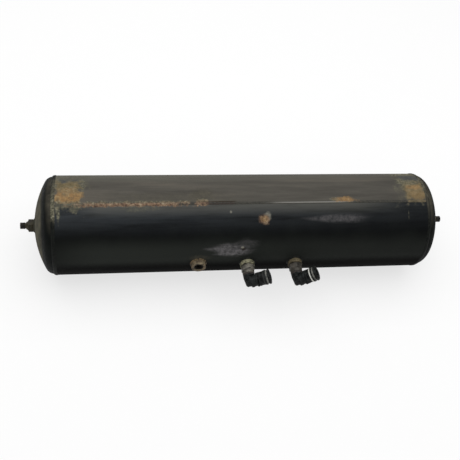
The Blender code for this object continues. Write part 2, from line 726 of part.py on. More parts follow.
def main():
    clear_scene()
    enamel = paint("black_enamel", (0.012, 0.013, 0.012), 0.42, 0.0)
    bead = paint("painted_weld", (0.016, 0.017, 0.015), 0.5, 0.0)
    finishes = {
        "zinc": paint("zinc_plated_steel", (0.36, 0.36, 0.33), 0.45, 0.9),
        "steel": paint("spring_steel", (0.42, 0.42, 0.42), 0.3, 1.0),
        "brass": paint("tarnished_brass", (0.30, 0.24, 0.12), 0.45, 0.9),
        "rubber": paint("black_rubber", (0.01, 0.01, 0.01), 0.8, 0.0),
        "plastic": paint("black_nylon", (0.02, 0.021, 0.022), 0.5, 0.0),
    }
    marker_rings = (
        paint("grey_acetal", (0.25, 0.26, 0.25), 0.5, 0.0),
        paint("white_acetal", (0.78, 0.78, 0.75), 0.45, 0.0),
    )
    along_x = Matrix.Rotation(math.pi / 2, 4, "Y")
    tank = marker("tank_axis", (0, 0, 0), along_x)
    ends = {
        "left": marker("left_end", (-SHELL_LENGTH / 2, 0, 0), Matrix.Rotation(-math.pi / 2, 4, "Y")),
        "right": marker("right_end", (SHELL_LENGTH / 2, 0, 0), along_x),
    }
    places = [(x, -SHELL_RADIUS, 0) for x in PORT_XS]
    outwards = Matrix.Rotation(math.pi / 2, 4, "X")
    ports = [marker(f"port_{number}", place, outwards) for number, place in enumerate(places, 1)]
    outward, across_wall = make_shell(tank, ports, enamel)
    make_seam_weld(outward, across_wall, bead)
    for side, end in ends.items():
        make_head(side, end, enamel, bead)
        make_end_boss(side, end, enamel, bead)
        make_test_point(side, end, finishes)
    for number, port in enumerate(ports, 1):
        make_port(number, port, enamel, bead)
    for number, angle in enumerate(ELBOW_ANGLES, 1):
        finishes["marker"] = marker_rings[number - 1]
        make_elbow(number, places[number], ports[number], angle, finishes)


main()
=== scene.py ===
# %% [markdown]
# # Air receiver tank of a commercial vehicle
# The real object is a rolled and welded steel vessel that stores compressed air for the brakes. It has
# three threaded ports along one side, two of them with push-in elbows, and a test point in the middle of
# each end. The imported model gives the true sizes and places. This lesson gives each piece its finished
# shape and surface.

# %% Load the model
import json
import math

import bmesh
import bpy
from mathutils import Matrix, Vector


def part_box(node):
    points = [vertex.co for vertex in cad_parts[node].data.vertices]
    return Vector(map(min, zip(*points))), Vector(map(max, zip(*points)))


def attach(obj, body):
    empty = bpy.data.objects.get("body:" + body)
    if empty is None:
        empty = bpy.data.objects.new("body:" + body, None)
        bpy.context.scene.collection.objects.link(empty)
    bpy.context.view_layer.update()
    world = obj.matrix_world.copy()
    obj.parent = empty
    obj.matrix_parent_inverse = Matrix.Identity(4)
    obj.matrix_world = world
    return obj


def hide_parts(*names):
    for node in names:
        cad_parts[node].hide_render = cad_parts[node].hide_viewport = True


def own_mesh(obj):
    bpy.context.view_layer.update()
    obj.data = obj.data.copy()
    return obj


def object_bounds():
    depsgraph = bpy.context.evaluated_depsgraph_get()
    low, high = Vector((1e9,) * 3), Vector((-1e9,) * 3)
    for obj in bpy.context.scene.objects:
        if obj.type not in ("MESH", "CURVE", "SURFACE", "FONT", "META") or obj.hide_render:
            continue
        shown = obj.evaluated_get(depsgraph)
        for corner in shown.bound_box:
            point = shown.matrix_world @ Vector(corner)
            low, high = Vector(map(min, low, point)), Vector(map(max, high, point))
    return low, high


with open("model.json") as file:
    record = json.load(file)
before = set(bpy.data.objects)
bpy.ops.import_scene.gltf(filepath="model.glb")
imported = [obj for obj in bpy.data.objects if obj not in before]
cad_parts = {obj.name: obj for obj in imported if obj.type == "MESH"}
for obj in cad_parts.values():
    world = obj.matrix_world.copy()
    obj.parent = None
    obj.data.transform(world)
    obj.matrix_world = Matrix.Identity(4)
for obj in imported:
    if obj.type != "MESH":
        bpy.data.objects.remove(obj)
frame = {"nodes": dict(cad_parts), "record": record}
cad_box = [list(corner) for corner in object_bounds()]
print("box of the packed model, m:", [[round(value, 4) for value in corner] for corner in cad_box])

# %% [markdown]
# ## Where things are
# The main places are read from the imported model, so that the finished pieces can't drift away from it.
# The tank lies along X, its ports point along -Y, and the outlets of the two elbows lean at the angles
# that their mounts state.

# %% Places and directions
def middle(node, axis):
    low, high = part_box(node)
    return (low[axis] + high[axis]) / 2


SHELL_LOW, SHELL_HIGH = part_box("shell")
RADIUS = (SHELL_HIGH[2] - SHELL_LOW[2]) / 2
HALF_LENGTH = SHELL_HIGH[0]
RADIUS_MM, HALF_MM = RADIUS * 1000, HALF_LENGTH * 1000
PORT_XS = [middle(f"port_boss_{number}", 0) for number in (1, 2, 3)]
MOUNTS = {mount["name"]: mount for mount in frame["record"]["mounts"]}
OUTLET_HEIGHT = -middle("elbow_1_marker_ring", 1) - RADIUS

OUTWARDS = Matrix.Rotation(math.pi / 2, 4, "X")
PORTS = [Matrix.Translation((x, -RADIUS, 0)) @ OUTWARDS for x in PORT_XS]
ENDS = {
    "left": Matrix.Translation((-HALF_LENGTH, 0, 0)) @ Matrix.Rotation(-math.pi / 2, 4, "Y"),
    "right": Matrix.Translation((HALF_LENGTH, 0, 0)) @ Matrix.Rotation(math.pi / 2, 4, "Y"),
}
ALONG_X = Matrix.Rotation(math.pi / 2, 4, "Y")
print("radius", round(RADIUS, 4), "half length", round(HALF_LENGTH, 4))
print("ports lie along X at", [round(x, 4) for x in PORT_XS])

# %% [markdown]
# ## Tools for turned pieces
# Almost everything here was made on a lathe, rolled or moulded round. Such a piece is easiest to make by
# spinning its half outline about an axis. Real edges are never perfectly sharp and their small rounding
# catches the light, so the sharp edges are then bevelled.

# %% Spin and round
def mm(value):
    return value / 1000


def round_edges(shape, width, segments=2, least=25):
    """Bevels the edges whose faces meet at more than an angle, in degrees."""
    sharp = [edge for edge in shape.edges if edge.calc_face_angle(0) > math.radians(least)]
    bmesh.ops.bevel(
        shape,
        geom=sharp,
        offset=mm(width),
        offset_type="OFFSET",
        affect="EDGES",
        segments=segments,
        profile=0.5,
        material=-1,
        clamp_overlap=True,
    )


def turned(outline, facets=96, rounding=0.0):
    """Spins (radius, height) points, in millimetres, about Z. An outline off the axis closes on itself."""
    shape = bmesh.new()
    points = [shape.verts.new((mm(radius), 0, mm(height))) for radius, height in outline]
    edges = [shape.edges.new(pair) for pair in zip(points, points[1:])]
    if outline[0][0] > 0:
        edges.append(shape.edges.new((points[-1], points[0])))
    bmesh.ops.spin(
        shape,
        geom=points + edges,
        cent=(0, 0, 0),
        axis=(0, 0, 1),
        angle=math.tau,
        steps=facets,
        use_merge=True,
    )
    bmesh.ops.remove_doubles(shape, verts=shape.verts, dist=1e-6)
    bmesh.ops.recalc_face_normals(shape, faces=shape.faces)
    if rounding:
        round_edges(shape, rounding)
    return shape


def bend(centre, radius, start, end, steps):
    """Points on an arc of an outline, in millimetres and radians."""
    turns = [start + (end - start) * step / steps for step in range(steps + 1)]
    return [(centre[0] + radius * math.cos(a), centre[1] + radius * math.sin(a)) for a in turns]

# %% [markdown]
# ## Put a piece in the scene
# A finished piece rides on the body that moves it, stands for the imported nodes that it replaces, and
# names the finish that it takes. Its object stays at the origin and its place goes into the mesh, so that
# patterns that read object coordinates are measured from the tank's own centre.

# %% Piece maker
def put(name, shape, place, body, nodes, finish, smooth=30):
    """Makes a piece of a shape. Edges sharper than the last angle, in degrees, are shaded as edges."""
    bmesh.ops.transform(shape, matrix=place, verts=shape.verts)
    mesh = bpy.data.meshes.new(name)
    shape.to_mesh(mesh)
    shape.free()
    mesh.shade_smooth()
    mesh.set_sharp_from_angle(angle=math.radians(smooth))
    piece = bpy.data.objects.new(name, mesh)
    bpy.context.scene.collection.objects.link(piece)
    mesh.materials.append(finish)
    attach(piece, body)
    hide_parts(*nodes)
    return piece


def loose(name, shape, place):
    """A helper object that shapes a piece and is removed again."""
    bmesh.ops.transform(shape, matrix=place, verts=shape.verts)
    bmesh.ops.recalc_face_normals(shape, faces=shape.faces)
    mesh = bpy.data.meshes.new(name)
    shape.to_mesh(mesh)
    shape.free()
    helper = bpy.data.objects.new(name, mesh)
    bpy.context.scene.collection.objects.link(helper)
    return helper


def settle(piece, smooth=30):
    """Turns what the modifiers make into the piece's own mesh."""
    graph = bpy.context.evaluated_depsgraph_get()
    finished = bpy.data.meshes.new_from_object(piece.evaluated_get(graph))
    piece.modifiers.clear()
    piece.data = finished
    finished.shade_smooth()
    finished.set_sharp_from_angle(angle=math.radians(smooth))


def cut(piece, helper, operation="DIFFERENCE", smooth=30):
    """Cuts a helper out of a piece, or keeps only what they share, and removes the helper."""
    change = piece.modifiers.new(helper.name, "BOOLEAN")
    change.operation = operation
    change.solver = "EXACT"
    change.object = helper
    settle(piece, smooth)
    bpy.data.objects.remove(helper)

# %% [markdown]
# ## One function for material nodes
# A material is a small graph. This function adds one node, sets its options and fills or links its
# inputs, so that each finish below reads as a list of steps. Colours are written as on the web and turned
# to linear light.

# %% Nodes and colours
def linear(code):
    """A web colour as linear light."""
    parts = [int(code[place : place + 2], 16) / 255 for place in (1, 3, 5)]
    return (*[p / 12.92 if p <= 0.04045 else ((p + 0.055) / 1.055) ** 2.4 for p in parts], 1)


def node(tree, kind, sources, out=0, stops=(), **settings):
    """One node. Its sources are values or outputs of other nodes. Stops are (place, colour) of a ramp."""
    made = tree.nodes.new(kind)
    for name, value in settings.items():
        setattr(made, name, value)
    for socket, value in sources.items():
        if isinstance(value, bpy.types.NodeSocket):
            tree.links.new(value, made.inputs[socket])
        else:
            made.inputs[socket].default_value = value
    for number, (place, code) in enumerate(stops):
        ramp = made.color_ramp.elements
        stop = ramp[number] if number < 2 else ramp.new(place)
        stop.position = place
        stop.color = linear(code)
    return made.outputs[out]


def new_finish(name, specular=0.5, metallic=0.0):
    made = bpy.data.materials.new(name)
    made.use_nodes = True
    shader = made.node_tree.nodes["Principled BSDF"]
    shader.inputs["Specular IOR Level"].default_value = specular
    shader.inputs["Metallic"].default_value = metallic
    return made, made.node_tree, shader


def wear(tree, spot, size, detail=3.0, rough=0.6):
    """A soft random pattern whose blotches are about a size across, in millimetres."""
    sources = {"Vector": spot, "Scale": 1000 / size, "Detail": detail, "Roughness": rough}
    return node(tree, "ShaderNodeTexNoise", sources)


def rising(tree, value, start, end):
    """0 at the start, 1 at the end, with soft shoulders."""
    return node(tree, "ShaderNodeMapRange", {0: value, 1: start, 2: end}, interpolation_type="SMOOTHSTEP")


def both(tree, first, second):
    """The product of two values. For two masks it is 1 only where both are."""
    return node(tree, "ShaderNodeMath", {0: first, 1: second}, operation="MULTIPLY")


def part_of(tree, vector, axis):
    """One coordinate of a vector: 0 is X, 1 is Y and 2 is Z."""
    return node(tree, "ShaderNodeSeparateXYZ", {0: vector}, out=axis)


def laid_over(tree, below, above, amount):
    """One layer of a finish over another. A layer is a colour and a roughness."""
    shade = node(tree, "ShaderNodeMix", {0: amount, 6: below[0], 7: above[0]}, out=2, data_type="RGBA")
    matt = node(tree, "ShaderNodeMix", {0: amount, 2: below[1], 3: above[1]}, data_type="FLOAT")
    return shade, matt


def connect(tree, shader, layer, height, depth):
    """Ends a finish: its layers go to the shader, and a pattern gives a relief, so deep in millimetres."""
    tree.links.new(layer[0], shader.inputs["Base Color"])
    tree.links.new(layer[1], shader.inputs["Roughness"])
    relief = node(tree, "ShaderNodeBump", {"Height": height, "Distance": mm(depth), "Strength": 1.0})
    tree.links.new(relief, shader.inputs["Normal"])

# %% [markdown]
# ## Marks on the shell
# Dirt and rust aren't spread evenly. They sit where the tension bands rubbed, along the weld and where
# mud ran down. To place them, the shell is thought of as unrolled: one axis is the length, and the other
# is the arc round it, measured from the ports upwards. A mark is then an oval or a box on that flat
# sheet, with a ragged edge.

# %% Unrolled shell
def unrolled(tree, spot):
    """The length in millimetres, the turn in degrees, and the point on the flat sheet in millimetres."""
    front = both(tree, part_of(tree, spot, 1), -1.0)
    turn = node(tree, "ShaderNodeMath", {0: part_of(tree, spot, 2), 1: front}, operation="ARCTAN2")
    degrees = node(tree, "ShaderNodeMath", {0: turn}, operation="DEGREES")
    along = both(tree, part_of(tree, spot, 0), 1000.0)
    sheet = node(tree, "ShaderNodeCombineXYZ", {0: along, 1: both(tree, turn, RADIUS_MM)})
    return along, degrees, sheet


def from_left(tree, along, left, right):
    """A value that changes evenly from the left end of the tank to the right end."""
    return node(tree, "ShaderNodeMapRange", {0: along, 1: -460.0, 2: 430.0, 3: left, 4: right})


def edge_grain(tree, spot):
    """The pattern that frays marks. The shell and its welds share it, so a mark can cross two pieces."""
    return wear(tree, spot, 17, 6.0, 0.72)


def arc_mm(degrees):
    return RADIUS_MM * math.radians(degrees)


print("one degree of the shell, in mm:", round(arc_mm(1), 2))

# %% [markdown]
# ## One mark
# A mark starts as a distance from its own centre that is 1 at the edge. Noise is added to the distance,
# so that the edge frays, and a soft step then turns it into a mask.

# %% Mask of a mark
def mark(tree, sheet, grain, length, turn, ragged, soft, box=False):
    """1 inside a mark and 0 outside. It lies (from, to) in millimetres along X and (from, to) in degrees."""
    low, high = arc_mm(turn[0]), arc_mm(turn[1])
    centre = ((length[0] + length[1]) / 2, (low + high) / 2, 0)
    half = (abs(length[1] - length[0]) / 2, (high - low) / 2, 1)
    away = node(tree, "ShaderNodeVectorMath", {0: sheet, 1: centre}, operation="SUBTRACT")
    share = node(tree, "ShaderNodeVectorMath", {0: away, 1: half}, operation="DIVIDE")
    if box:
        plain = node(tree, "ShaderNodeVectorMath", {0: share}, operation="ABSOLUTE")
        sides = {0: part_of(tree, plain, 0), 1: part_of(tree, plain, 1)}
        far = node(tree, "ShaderNodeMath", sides, operation="MAXIMUM")
    else:
        far = node(tree, "ShaderNodeVectorMath", {0: share}, out=1, operation="LENGTH")
    edge = node(tree, "ShaderNodeMath", {0: grain, 1: ragged, 2: far}, operation="MULTIPLY_ADD")
    centred = node(tree, "ShaderNodeMath", {0: edge, 1: ragged / 2}, operation="SUBTRACT")
    return rising(tree, centred, 1 + soft / 2, 1 - soft / 2)

# %% [markdown]
# ## Rust, mud and stains
# Each of these is a speckled colour with its own grain. Rust on a flat place flakes and shows orange
# under the loose scale. Rust on the weld is older and pinker, because it dried there again and again. Mud
# keeps the colour of the road, and dries paler at its edge.

# %% Layers of wear
WEAR = {
    # Layer: grain in mm, roughness, then the stops of its colours. The first two stops are the darkest and
    # the palest.
    "rust": (7, 0.85, (0.3, "#52442d"), (0.76, "#a4957a"), (0.42, "#79644a"), (0.52, "#8f6f48"),
             (0.62, "#93805f")),
    "weld rust": (7, 0.85, (0.36, "#3a2f28"), (0.7, "#aa9a80"), (0.47, "#6c5443"), (0.57, "#86705a")),
    "mud": (9, 0.9, (0.35, "#42423a"), (0.67, "#77735f"), (0.5, "#5a584b")),
    "pale mud": (5, 0.9, (0.41, "#424137"), (0.68, "#a7a28a"), (0.53, "#716e5c")),
    # Caked dust on the crowns of the heads, lightened as a painted reflection.
    "cake": (22, 0.9, (0.32, "#47463b"), (0.7, "#6f6b59"), (0.45, "#57554a"), (0.56, "#615e50")),
    "brown": (12, 0.85, (0.35, "#554d38"), (0.67, "#84755a"), (0.5, "#6e6147")),
    "stain": (16, 0.8, (0.35, "#423f38"), (0.67, "#595549"), (0.5, "#4b483f")),
    "slate": (20, 0.7, (0.35, "#3a3e42"), (0.67, "#4b4e50")),
    # Scuffs, and also the painted highlight on the shoulder of the shell.
    "scuff and highlight": (9, 0.6, (0.35, "#434243"), (0.67, "#7a7778")),
    "pale": (5, 0.7, (0.35, "#8c8a7c"), (0.67, "#b9b5a6")),
    # Painted shade: under the edge of the long weld, and in a small notch.
    "dark": (5, 0.6, (0.35, "#1d1714"), (0.67, "#35291f")),
}


def wear_layer(tree, spot, kind):
    """A layer whose colour follows its grain."""
    size, roughness, *stops = WEAR[kind]
    return node(tree, "ShaderNodeValToRGB", {0: wear(tree, spot, size, 5.0, 0.75)}, stops=stops), roughness


def wear_layers(tree, spot, kinds):
    """One layer for each kind that is named, however often it is named."""
    return {kind: wear_layer(tree, spot, kind) for kind in dict.fromkeys(kinds)}


print("layers of wear:", ", ".join(WEAR))

# %% [markdown]
# ## Map of the marks
# One line is one mark: its layer, where it lies, how strong it is and how ragged its edge is. The order
# is the order in which they formed, so a later line covers an earlier one. A straight edge is where a
# band or the weld stopped the dirt.

# %% Where each mark lies
MARKS = (
    # Layer, (from, to) along X in mm, (from, to) round the shell in degrees, amount, ragged, box
    ("stain", (-140, -85), (79, 97), 0.55, 1.6, False),
    ("stain", (-330, -60), (77, 90), 0.35, 2.4, True),
    ("stain", (-142, -97), (5, 14), 0.5, 2.4, False),
    ("scuff and highlight", (-88, -8), (14.5, 27.5), 0.75, 2.6, False),
    ("scuff and highlight", (-80, -20), (16, 26), 0.5, 2.6, False),
    ("scuff and highlight", (-30, 14), (18, 34), 0.22, 2.8, False),
    # Painted shade in a small notch.
    ("dark", (-17, -7), (20, 24.5), 0.6, 1.6, False),
    # A painted highlight on the shoulder of the shell.
    ("scuff and highlight", (165, 290), (53, 61.5), 0.4, 2.4, False),
    # A painted highlight on the edge of the same notch.
    ("pale", (-19, -11), (23, 26), 0.55, 1.6, False),
    ("pale", (-47.5, -42), (64.8, 68), 0.35, 0.9, False),
    ("pale mud", (408.6, 410.6), (55, 65), 0.3, 0.6, False),
    # Left end, from the band's edge outwards to the head.
    ("mud", (-462, -388), (98, 134), 0.4, 3.6, True),
    ("slate", (-449, -408), (103, 117), 0.7, 2.2, True),
    ("pale mud", (-406, -390), (94, 121), 0.4, 3.6, False),
    ("pale mud", (-466, -450), (92, 126), 0.35, 3.6, False),
    ("mud", (-460, -402), (73, 112), 0.8, 2.8, True),
    ("brown", (-455, -404), (84, 111), 0.9, 2.6, True),
    ("rust", (-462, -401), (78, 99), 0.85, 2.8, False),
    ("rust", (-452, -405), (79, 92), 0.6, 2.8, True),
    ("pale mud", (-452, -405), (89, 103), 0.35, 3.4, False),
    ("pale mud", (-458, -400), (73, 80.5), 0.4, 3.6, True),
    ("mud", (-425, -405), (67, 76), 0.7, 2.6, False),
    ("pale mud", (-458, -448), (62, 83), 0.5, 3.4, False),
    ("pale mud", (-455, -450), (56, 70), 0.3, 2.8, False),
    ("pale mud", (-471, -464), (62, 112), 0.4, 3.8, True),
    # Right end.
    ("mud", (396, 474), (79, 124), 0.55, 3.0, True),
    ("slate", (414, 470), (110, 122), 0.55, 2.4, True),
    ("pale mud", (402, 458), (124, 137), 0.75, 2.2, True),
    ("pale mud", (398, 424), (99, 113), 0.5, 3.2, False),
    ("brown", (412, 464), (79.4, 106), 0.8, 2.6, True),
    ("pale mud", (410, 450), (98, 109), 0.45, 3.4, False),
    ("rust", (420, 454), (93, 101), 0.7, 2.8, False),
    ("rust", (424, 458), (79, 91), 0.3, 3.4, True),
    # Along the weld.
    ("weld rust", (-400, -160), (74.0, 79.0), 0.85, 3.6, True),
    ("pale mud", (-404, -166), (77.6, 80.6), 0.45, 5.0, True),
    ("mud", (-300, -225), (68, 76), 0.3, 3.4, False),
    ("weld rust", (-128, -96), (74, 81.5), 0.8, 3.6, False),
    ("pale mud", (-126, -98), (76, 83.5), 0.45, 4.0, False),
    # Painted shade under the edge of the weld.
    ("dark", (-102, -34), (77.5, 79.3), 0.8, 1.4, True),
    ("rust", (220, 264), (77.6, 83.5), 0.8, 2.8, False),
    ("rust", (238, 278), (77.6, 80.8), 0.6, 2.6, False),
    ("pale mud", (206, 232), (77.8, 82.5), 0.4, 3.0, False),
    # Single spot of rust that grew from a stone chip.
    ("pale", (34, 54), (56, 65), 0.4, 1.9, False),
    ("weld rust", (24, 50), (51.5, 63.5), 0.8, 1.7, False),
    ("rust", (28, 46), (54, 61.5), 0.5, 2.0, False),
)

# %% [markdown]
# ## Worn enamel on the shell
# The real finish is a black stoving enamel, sprayed thin over steel. Years under a vehicle leave it dull,
# with a brown-grey film of road dust on what faces up. The dust ends at the long weld, which catches it
# like a ledge, and only a little hangs on below. The enamel mirrors very little, so its sheen is painted
# into the colours: the dust above and just below the weld is lightened as painted sheen, further down a
# blue-grey painted highlight lies on the black enamel, the road film low on the side is also a painted
# reflection of the floor, and underneath grime and painted shade keep it black. Layers of colour with
# masks are stacked in order: enamel, painted highlight, then dust, road film and grime in the order in
# which these films formed, and then the marks of the map above.

# %% Shell enamel
def make_shell_enamel():
    finish, tree, shader = new_finish("worn_black_stoving_enamel", specular=0.05)
    spot = node(tree, "ShaderNodeTexCoord", {}, out="Object")
    along, degrees, sheet = unrolled(tree, spot)
    fine = wear(tree, spot, 6)
    broad = wear(tree, spot, 60, 4.0)
    edges = edge_grain(tree, spot)
    # Runs and wipe marks follow the length of the tank, so this pattern is stretched ten times along X.
    long_spot = node(tree, "ShaderNodeMapping", {"Vector": spot, "Scale": (0.1, 1, 1)})
    streaks = wear(tree, long_spot, 14, 4.0)
    enamel = node(tree, "ShaderNodeValToRGB", {0: broad}, stops=((0.35, "#060708"), (0.7, "#0e100f")))
    layer = (enamel, rising(tree, fine, -0.9, 1.6))
    # A blue-grey painted highlight on the front below the weld stands in for the sheen of the enamel. It
    # thins out downwards and towards the right.
    painted_highlight_below_weld = both(tree, rising(tree, degrees, 34, 74), rising(tree, degrees, 170, 120))
    painted_highlight_below_weld = both(tree, painted_highlight_below_weld, rising(tree, streaks, 0.05, 0.65))
    painted_highlight_below_weld = both(tree, painted_highlight_below_weld, from_left(tree, along, 0.7, 0.25))
    layer = laid_over(tree, layer, (linear("#42464a"), 0.6), painted_highlight_below_weld)
    # Dust that spilled over the weld hangs on just below it, but hardly at the two ends. Its pale grey is
    # also painted sheen that fades down from the weld.
    spill_and_sheen = both(tree, rising(tree, degrees, 59, 76), rising(tree, along, 420, 240))
    spill_and_sheen = both(tree, spill_and_sheen, rising(tree, along, -430, -350))
    spill_and_sheen = both(tree, spill_and_sheen, rising(tree, streaks, -0.1, 0.55))
    layer = laid_over(tree, layer, (linear("#64635c"), 0.7), both(tree, spill_and_sheen, 0.48))
    # Above the weld a brown-grey film of dust, a little thicker at the left, takes the gloss off the top.
    # Its pale colour is also painted sheen of the top.
    dust_and_sheen = both(tree, rising(tree, degrees, 75.5, 79.5), rising(tree, degrees, 182, 150))
    dust_and_sheen = both(tree, dust_and_sheen, rising(tree, streaks, -0.2, 0.45))
    dust_and_sheen = both(tree, dust_and_sheen, from_left(tree, along, 0.93, 0.8))
    cloudy = node(tree, "ShaderNodeValToRGB", {0: wear(tree, long_spot, 30, 6.0, 0.7)},
                  stops=((0.32, "#45423d"), (0.68, "#5f5a52"), (0.5, "#514e48")))
    layer = laid_over(tree, layer, (cloudy, 0.75), dust_and_sheen)
    # The dust lies thickest on the very top, and its palest colour there is also painted sheen.
    crest = both(tree, rising(tree, degrees, 106, 124), rising(tree, degrees, 176, 140))
    crest = both(tree, crest, from_left(tree, along, 0.55, 0.1))
    layer = laid_over(tree, layer, (linear("#6b6a60"), 0.8), crest)
    # Grey road film low on the side, which faces the spray from the wheels. Its lighter grey is also a
    # painted reflection of the floor.
    spray_and_reflection = both(tree, rising(tree, degrees, 46, 20), rising(tree, degrees, -8, 10))
    spray_and_reflection = both(tree, spray_and_reflection, rising(tree, along, -560, -340))
    spray_and_reflection = both(tree, spray_and_reflection, from_left(tree, along, 0.72, 0.36))
    layer = laid_over(tree, layer, (linear("#313430"), 0.65), spray_and_reflection)
    # Underneath, oily grime and painted shade keep the enamel near black and take away its sheen. It is
    # thinner at the left end.
    grime_and_shade = node(tree, "ShaderNodeValToRGB", {0: streaks}, stops=((0.35, "#030303"), (0.7, "#0e0d0b")))
    thick = node(tree, "ShaderNodeMapRange", {0: along, 1: -460.0, 2: 0.0, 3: 0.6, 4: 0.9})
    layer = laid_over(tree, layer, (grime_and_shade, 0.9), both(tree, rising(tree, degrees, 8, -8), thick))
    layers = wear_layers(tree, spot, [line[0] for line in MARKS])
    for kind, length, turn, amount, ragged, box in MARKS:
        # A rubbed or a damp place fades out softly, and so does the painted highlight on the shoulder. Dirt
        # and rust end more sharply.
        soft = 1.1 if kind in ("scuff and highlight", "stain") else 0.7
        grain = streaks if kind == "scuff and highlight" else edges
        place = mark(tree, sheet, grain, length, turn, ragged, soft, box)
        layer = laid_over(tree, layer, layers[kind], both(tree, place, amount))
    relief = node(tree, "ShaderNodeMix", {0: 0.5, 2: fine, 3: broad}, data_type="FLOAT")
    connect(tree, shader, layer, relief, 0.6)
    return finish


ENAMEL = make_shell_enamel()
print("shell finish:", ENAMEL.name, len(ENAMEL.node_tree.nodes), "nodes,", len(MARKS), "marks")

# %% [markdown]
# ## The same enamel on the heads
# A head is pressed from the same steel and sprayed in the same booth. Its crown faces along the vehicle,
# so road dust cakes there as far as the knuckle, and the crown is lightened further as a painted
# reflection, most on the left end. On the knuckle only the part that faces up holds a film. What faces
# the road is darkened with grime and painted shade.
# A normal that is read from the geometry tells which way a place faces, and it is true in every view.

# %% Head enamel
def facing_up(tree, start=-0.2, end=0.9):
    """0 where a place hardly faces up and 1 where it faces up, judged by the Z of its normal."""
    facing = node(tree, "ShaderNodeNewGeometry", {}, out="Normal")
    return rising(tree, part_of(tree, facing, 2), start, end)


def from_middle(tree, spot):
    """Distance from the tank's middle along X, in millimetres."""
    plain = node(tree, "ShaderNodeMath", {0: part_of(tree, spot, 0)}, operation="ABSOLUTE")
    return both(tree, plain, 1000.0)


def make_head_enamel():
    finish, tree, shader = new_finish("worn_enamel_on_heads", specular=0.06)
    spot = node(tree, "ShaderNodeTexCoord", {}, out="Object")
    fine = wear(tree, spot, 5)
    broad = wear(tree, spot, 40, 5.0)
    shade = node(tree, "ShaderNodeValToRGB", {0: broad}, stops=((0.35, "#0b0d0c"), (0.7, "#151816")))
    layer = (shade, rising(tree, fine, -0.9, 1.5))
    # The film fades out round the end of the knuckle, which is 488 mm from the middle of the tank.
    out = from_middle(tree, spot)
    dust_and_sheen = both(tree, rising(tree, out, 496, 476), facing_up(tree, 0.6, 1.0))
    dust_and_sheen = both(tree, dust_and_sheen, rising(tree, broad, 0.1, 0.6))
    layer = laid_over(tree, layer, wear_layer(tree, spot, "stain"), both(tree, dust_and_sheen, 0.7))
    # The cake begins on the crown, from 490 mm on. It is caked dust, and a painted reflection that lightens
    # the crown: strongly on the left end, and hardly on the right one.
    cake = both(tree, rising(tree, out, 490, 497), rising(tree, broad, 0.05, 0.55))
    sides = {0: part_of(tree, spot, 0), 1: -0.4, 2: 0.4, 3: 0.85, 4: 0.25}
    cake = both(tree, cake, node(tree, "ShaderNodeMapRange", sides))
    layer = laid_over(tree, layer, wear_layer(tree, spot, "cake"), cake)
    # Grime and painted shade blacken what faces the road.
    grime_and_shade = rising(tree, part_of(tree, spot, 2), -0.2 * RADIUS, -0.8 * RADIUS)
    layer = laid_over(tree, layer, (linear("#040404"), 0.95), both(tree, grime_and_shade, 0.5))
    connect(tree, shader, layer, fine, 0.4)
    return finish


HEAD_ENAMEL = make_head_enamel()
print("head finish:", HEAD_ENAMEL.name)

# %% [markdown]
# ## Enamel over the weld beads
# The beads round the heads are painted. Their ripples hold mud where the bands trapped it, high on both
# ends, and most of it on the left.

# %% Bead enamel
def make_bead_enamel():
    finish, tree, shader = new_finish("enamel_over_weld", specular=0.08)
    spot = node(tree, "ShaderNodeTexCoord", {}, out="Object")
    sheet = unrolled(tree, spot)[2]
    fine = wear(tree, spot, 5)
    edges = edge_grain(tree, spot)
    shade = node(tree, "ShaderNodeValToRGB", {0: fine}, stops=((0.35, "#0e100f"), (0.7, "#1f211e")))
    layer = (shade, rising(tree, fine, -0.8, 1.5))
    up = facing_up(tree, 0.75, 1.0)
    layer = laid_over(tree, layer, wear_layer(tree, spot, "stain"), both(tree, up, 0.6))
    mud = wear_layer(tree, spot, "pale mud")
    for length, turn, amount in (
        ((-482, -455), (58, 84), 0.75),
        ((-482, -455), (82, 112), 0.4),
        ((455, 482), (86, 130), 0.35),
    ):
        caked = mark(tree, sheet, edges, length, turn, 3.0, 0.6, box=True)
        layer = laid_over(tree, layer, mud, both(tree, caked, amount))
    connect(tree, shader, layer, fine, 0.4)
    return finish


WELD_ENAMEL = make_bead_enamel()
print("bead finish:", WELD_ENAMEL.name)

# %% [markdown]
# ## Thin paint on the bosses
# A boss is bare machined steel under thin paint, so oil and rust show first there. The colours and
# amounts are parameters, because each boss has its own dirt. The open port is a case of its own: its
# face was once covered by a fitting, its side wasn't, and its thread still holds old oil, made deeper
# black with painted shade.

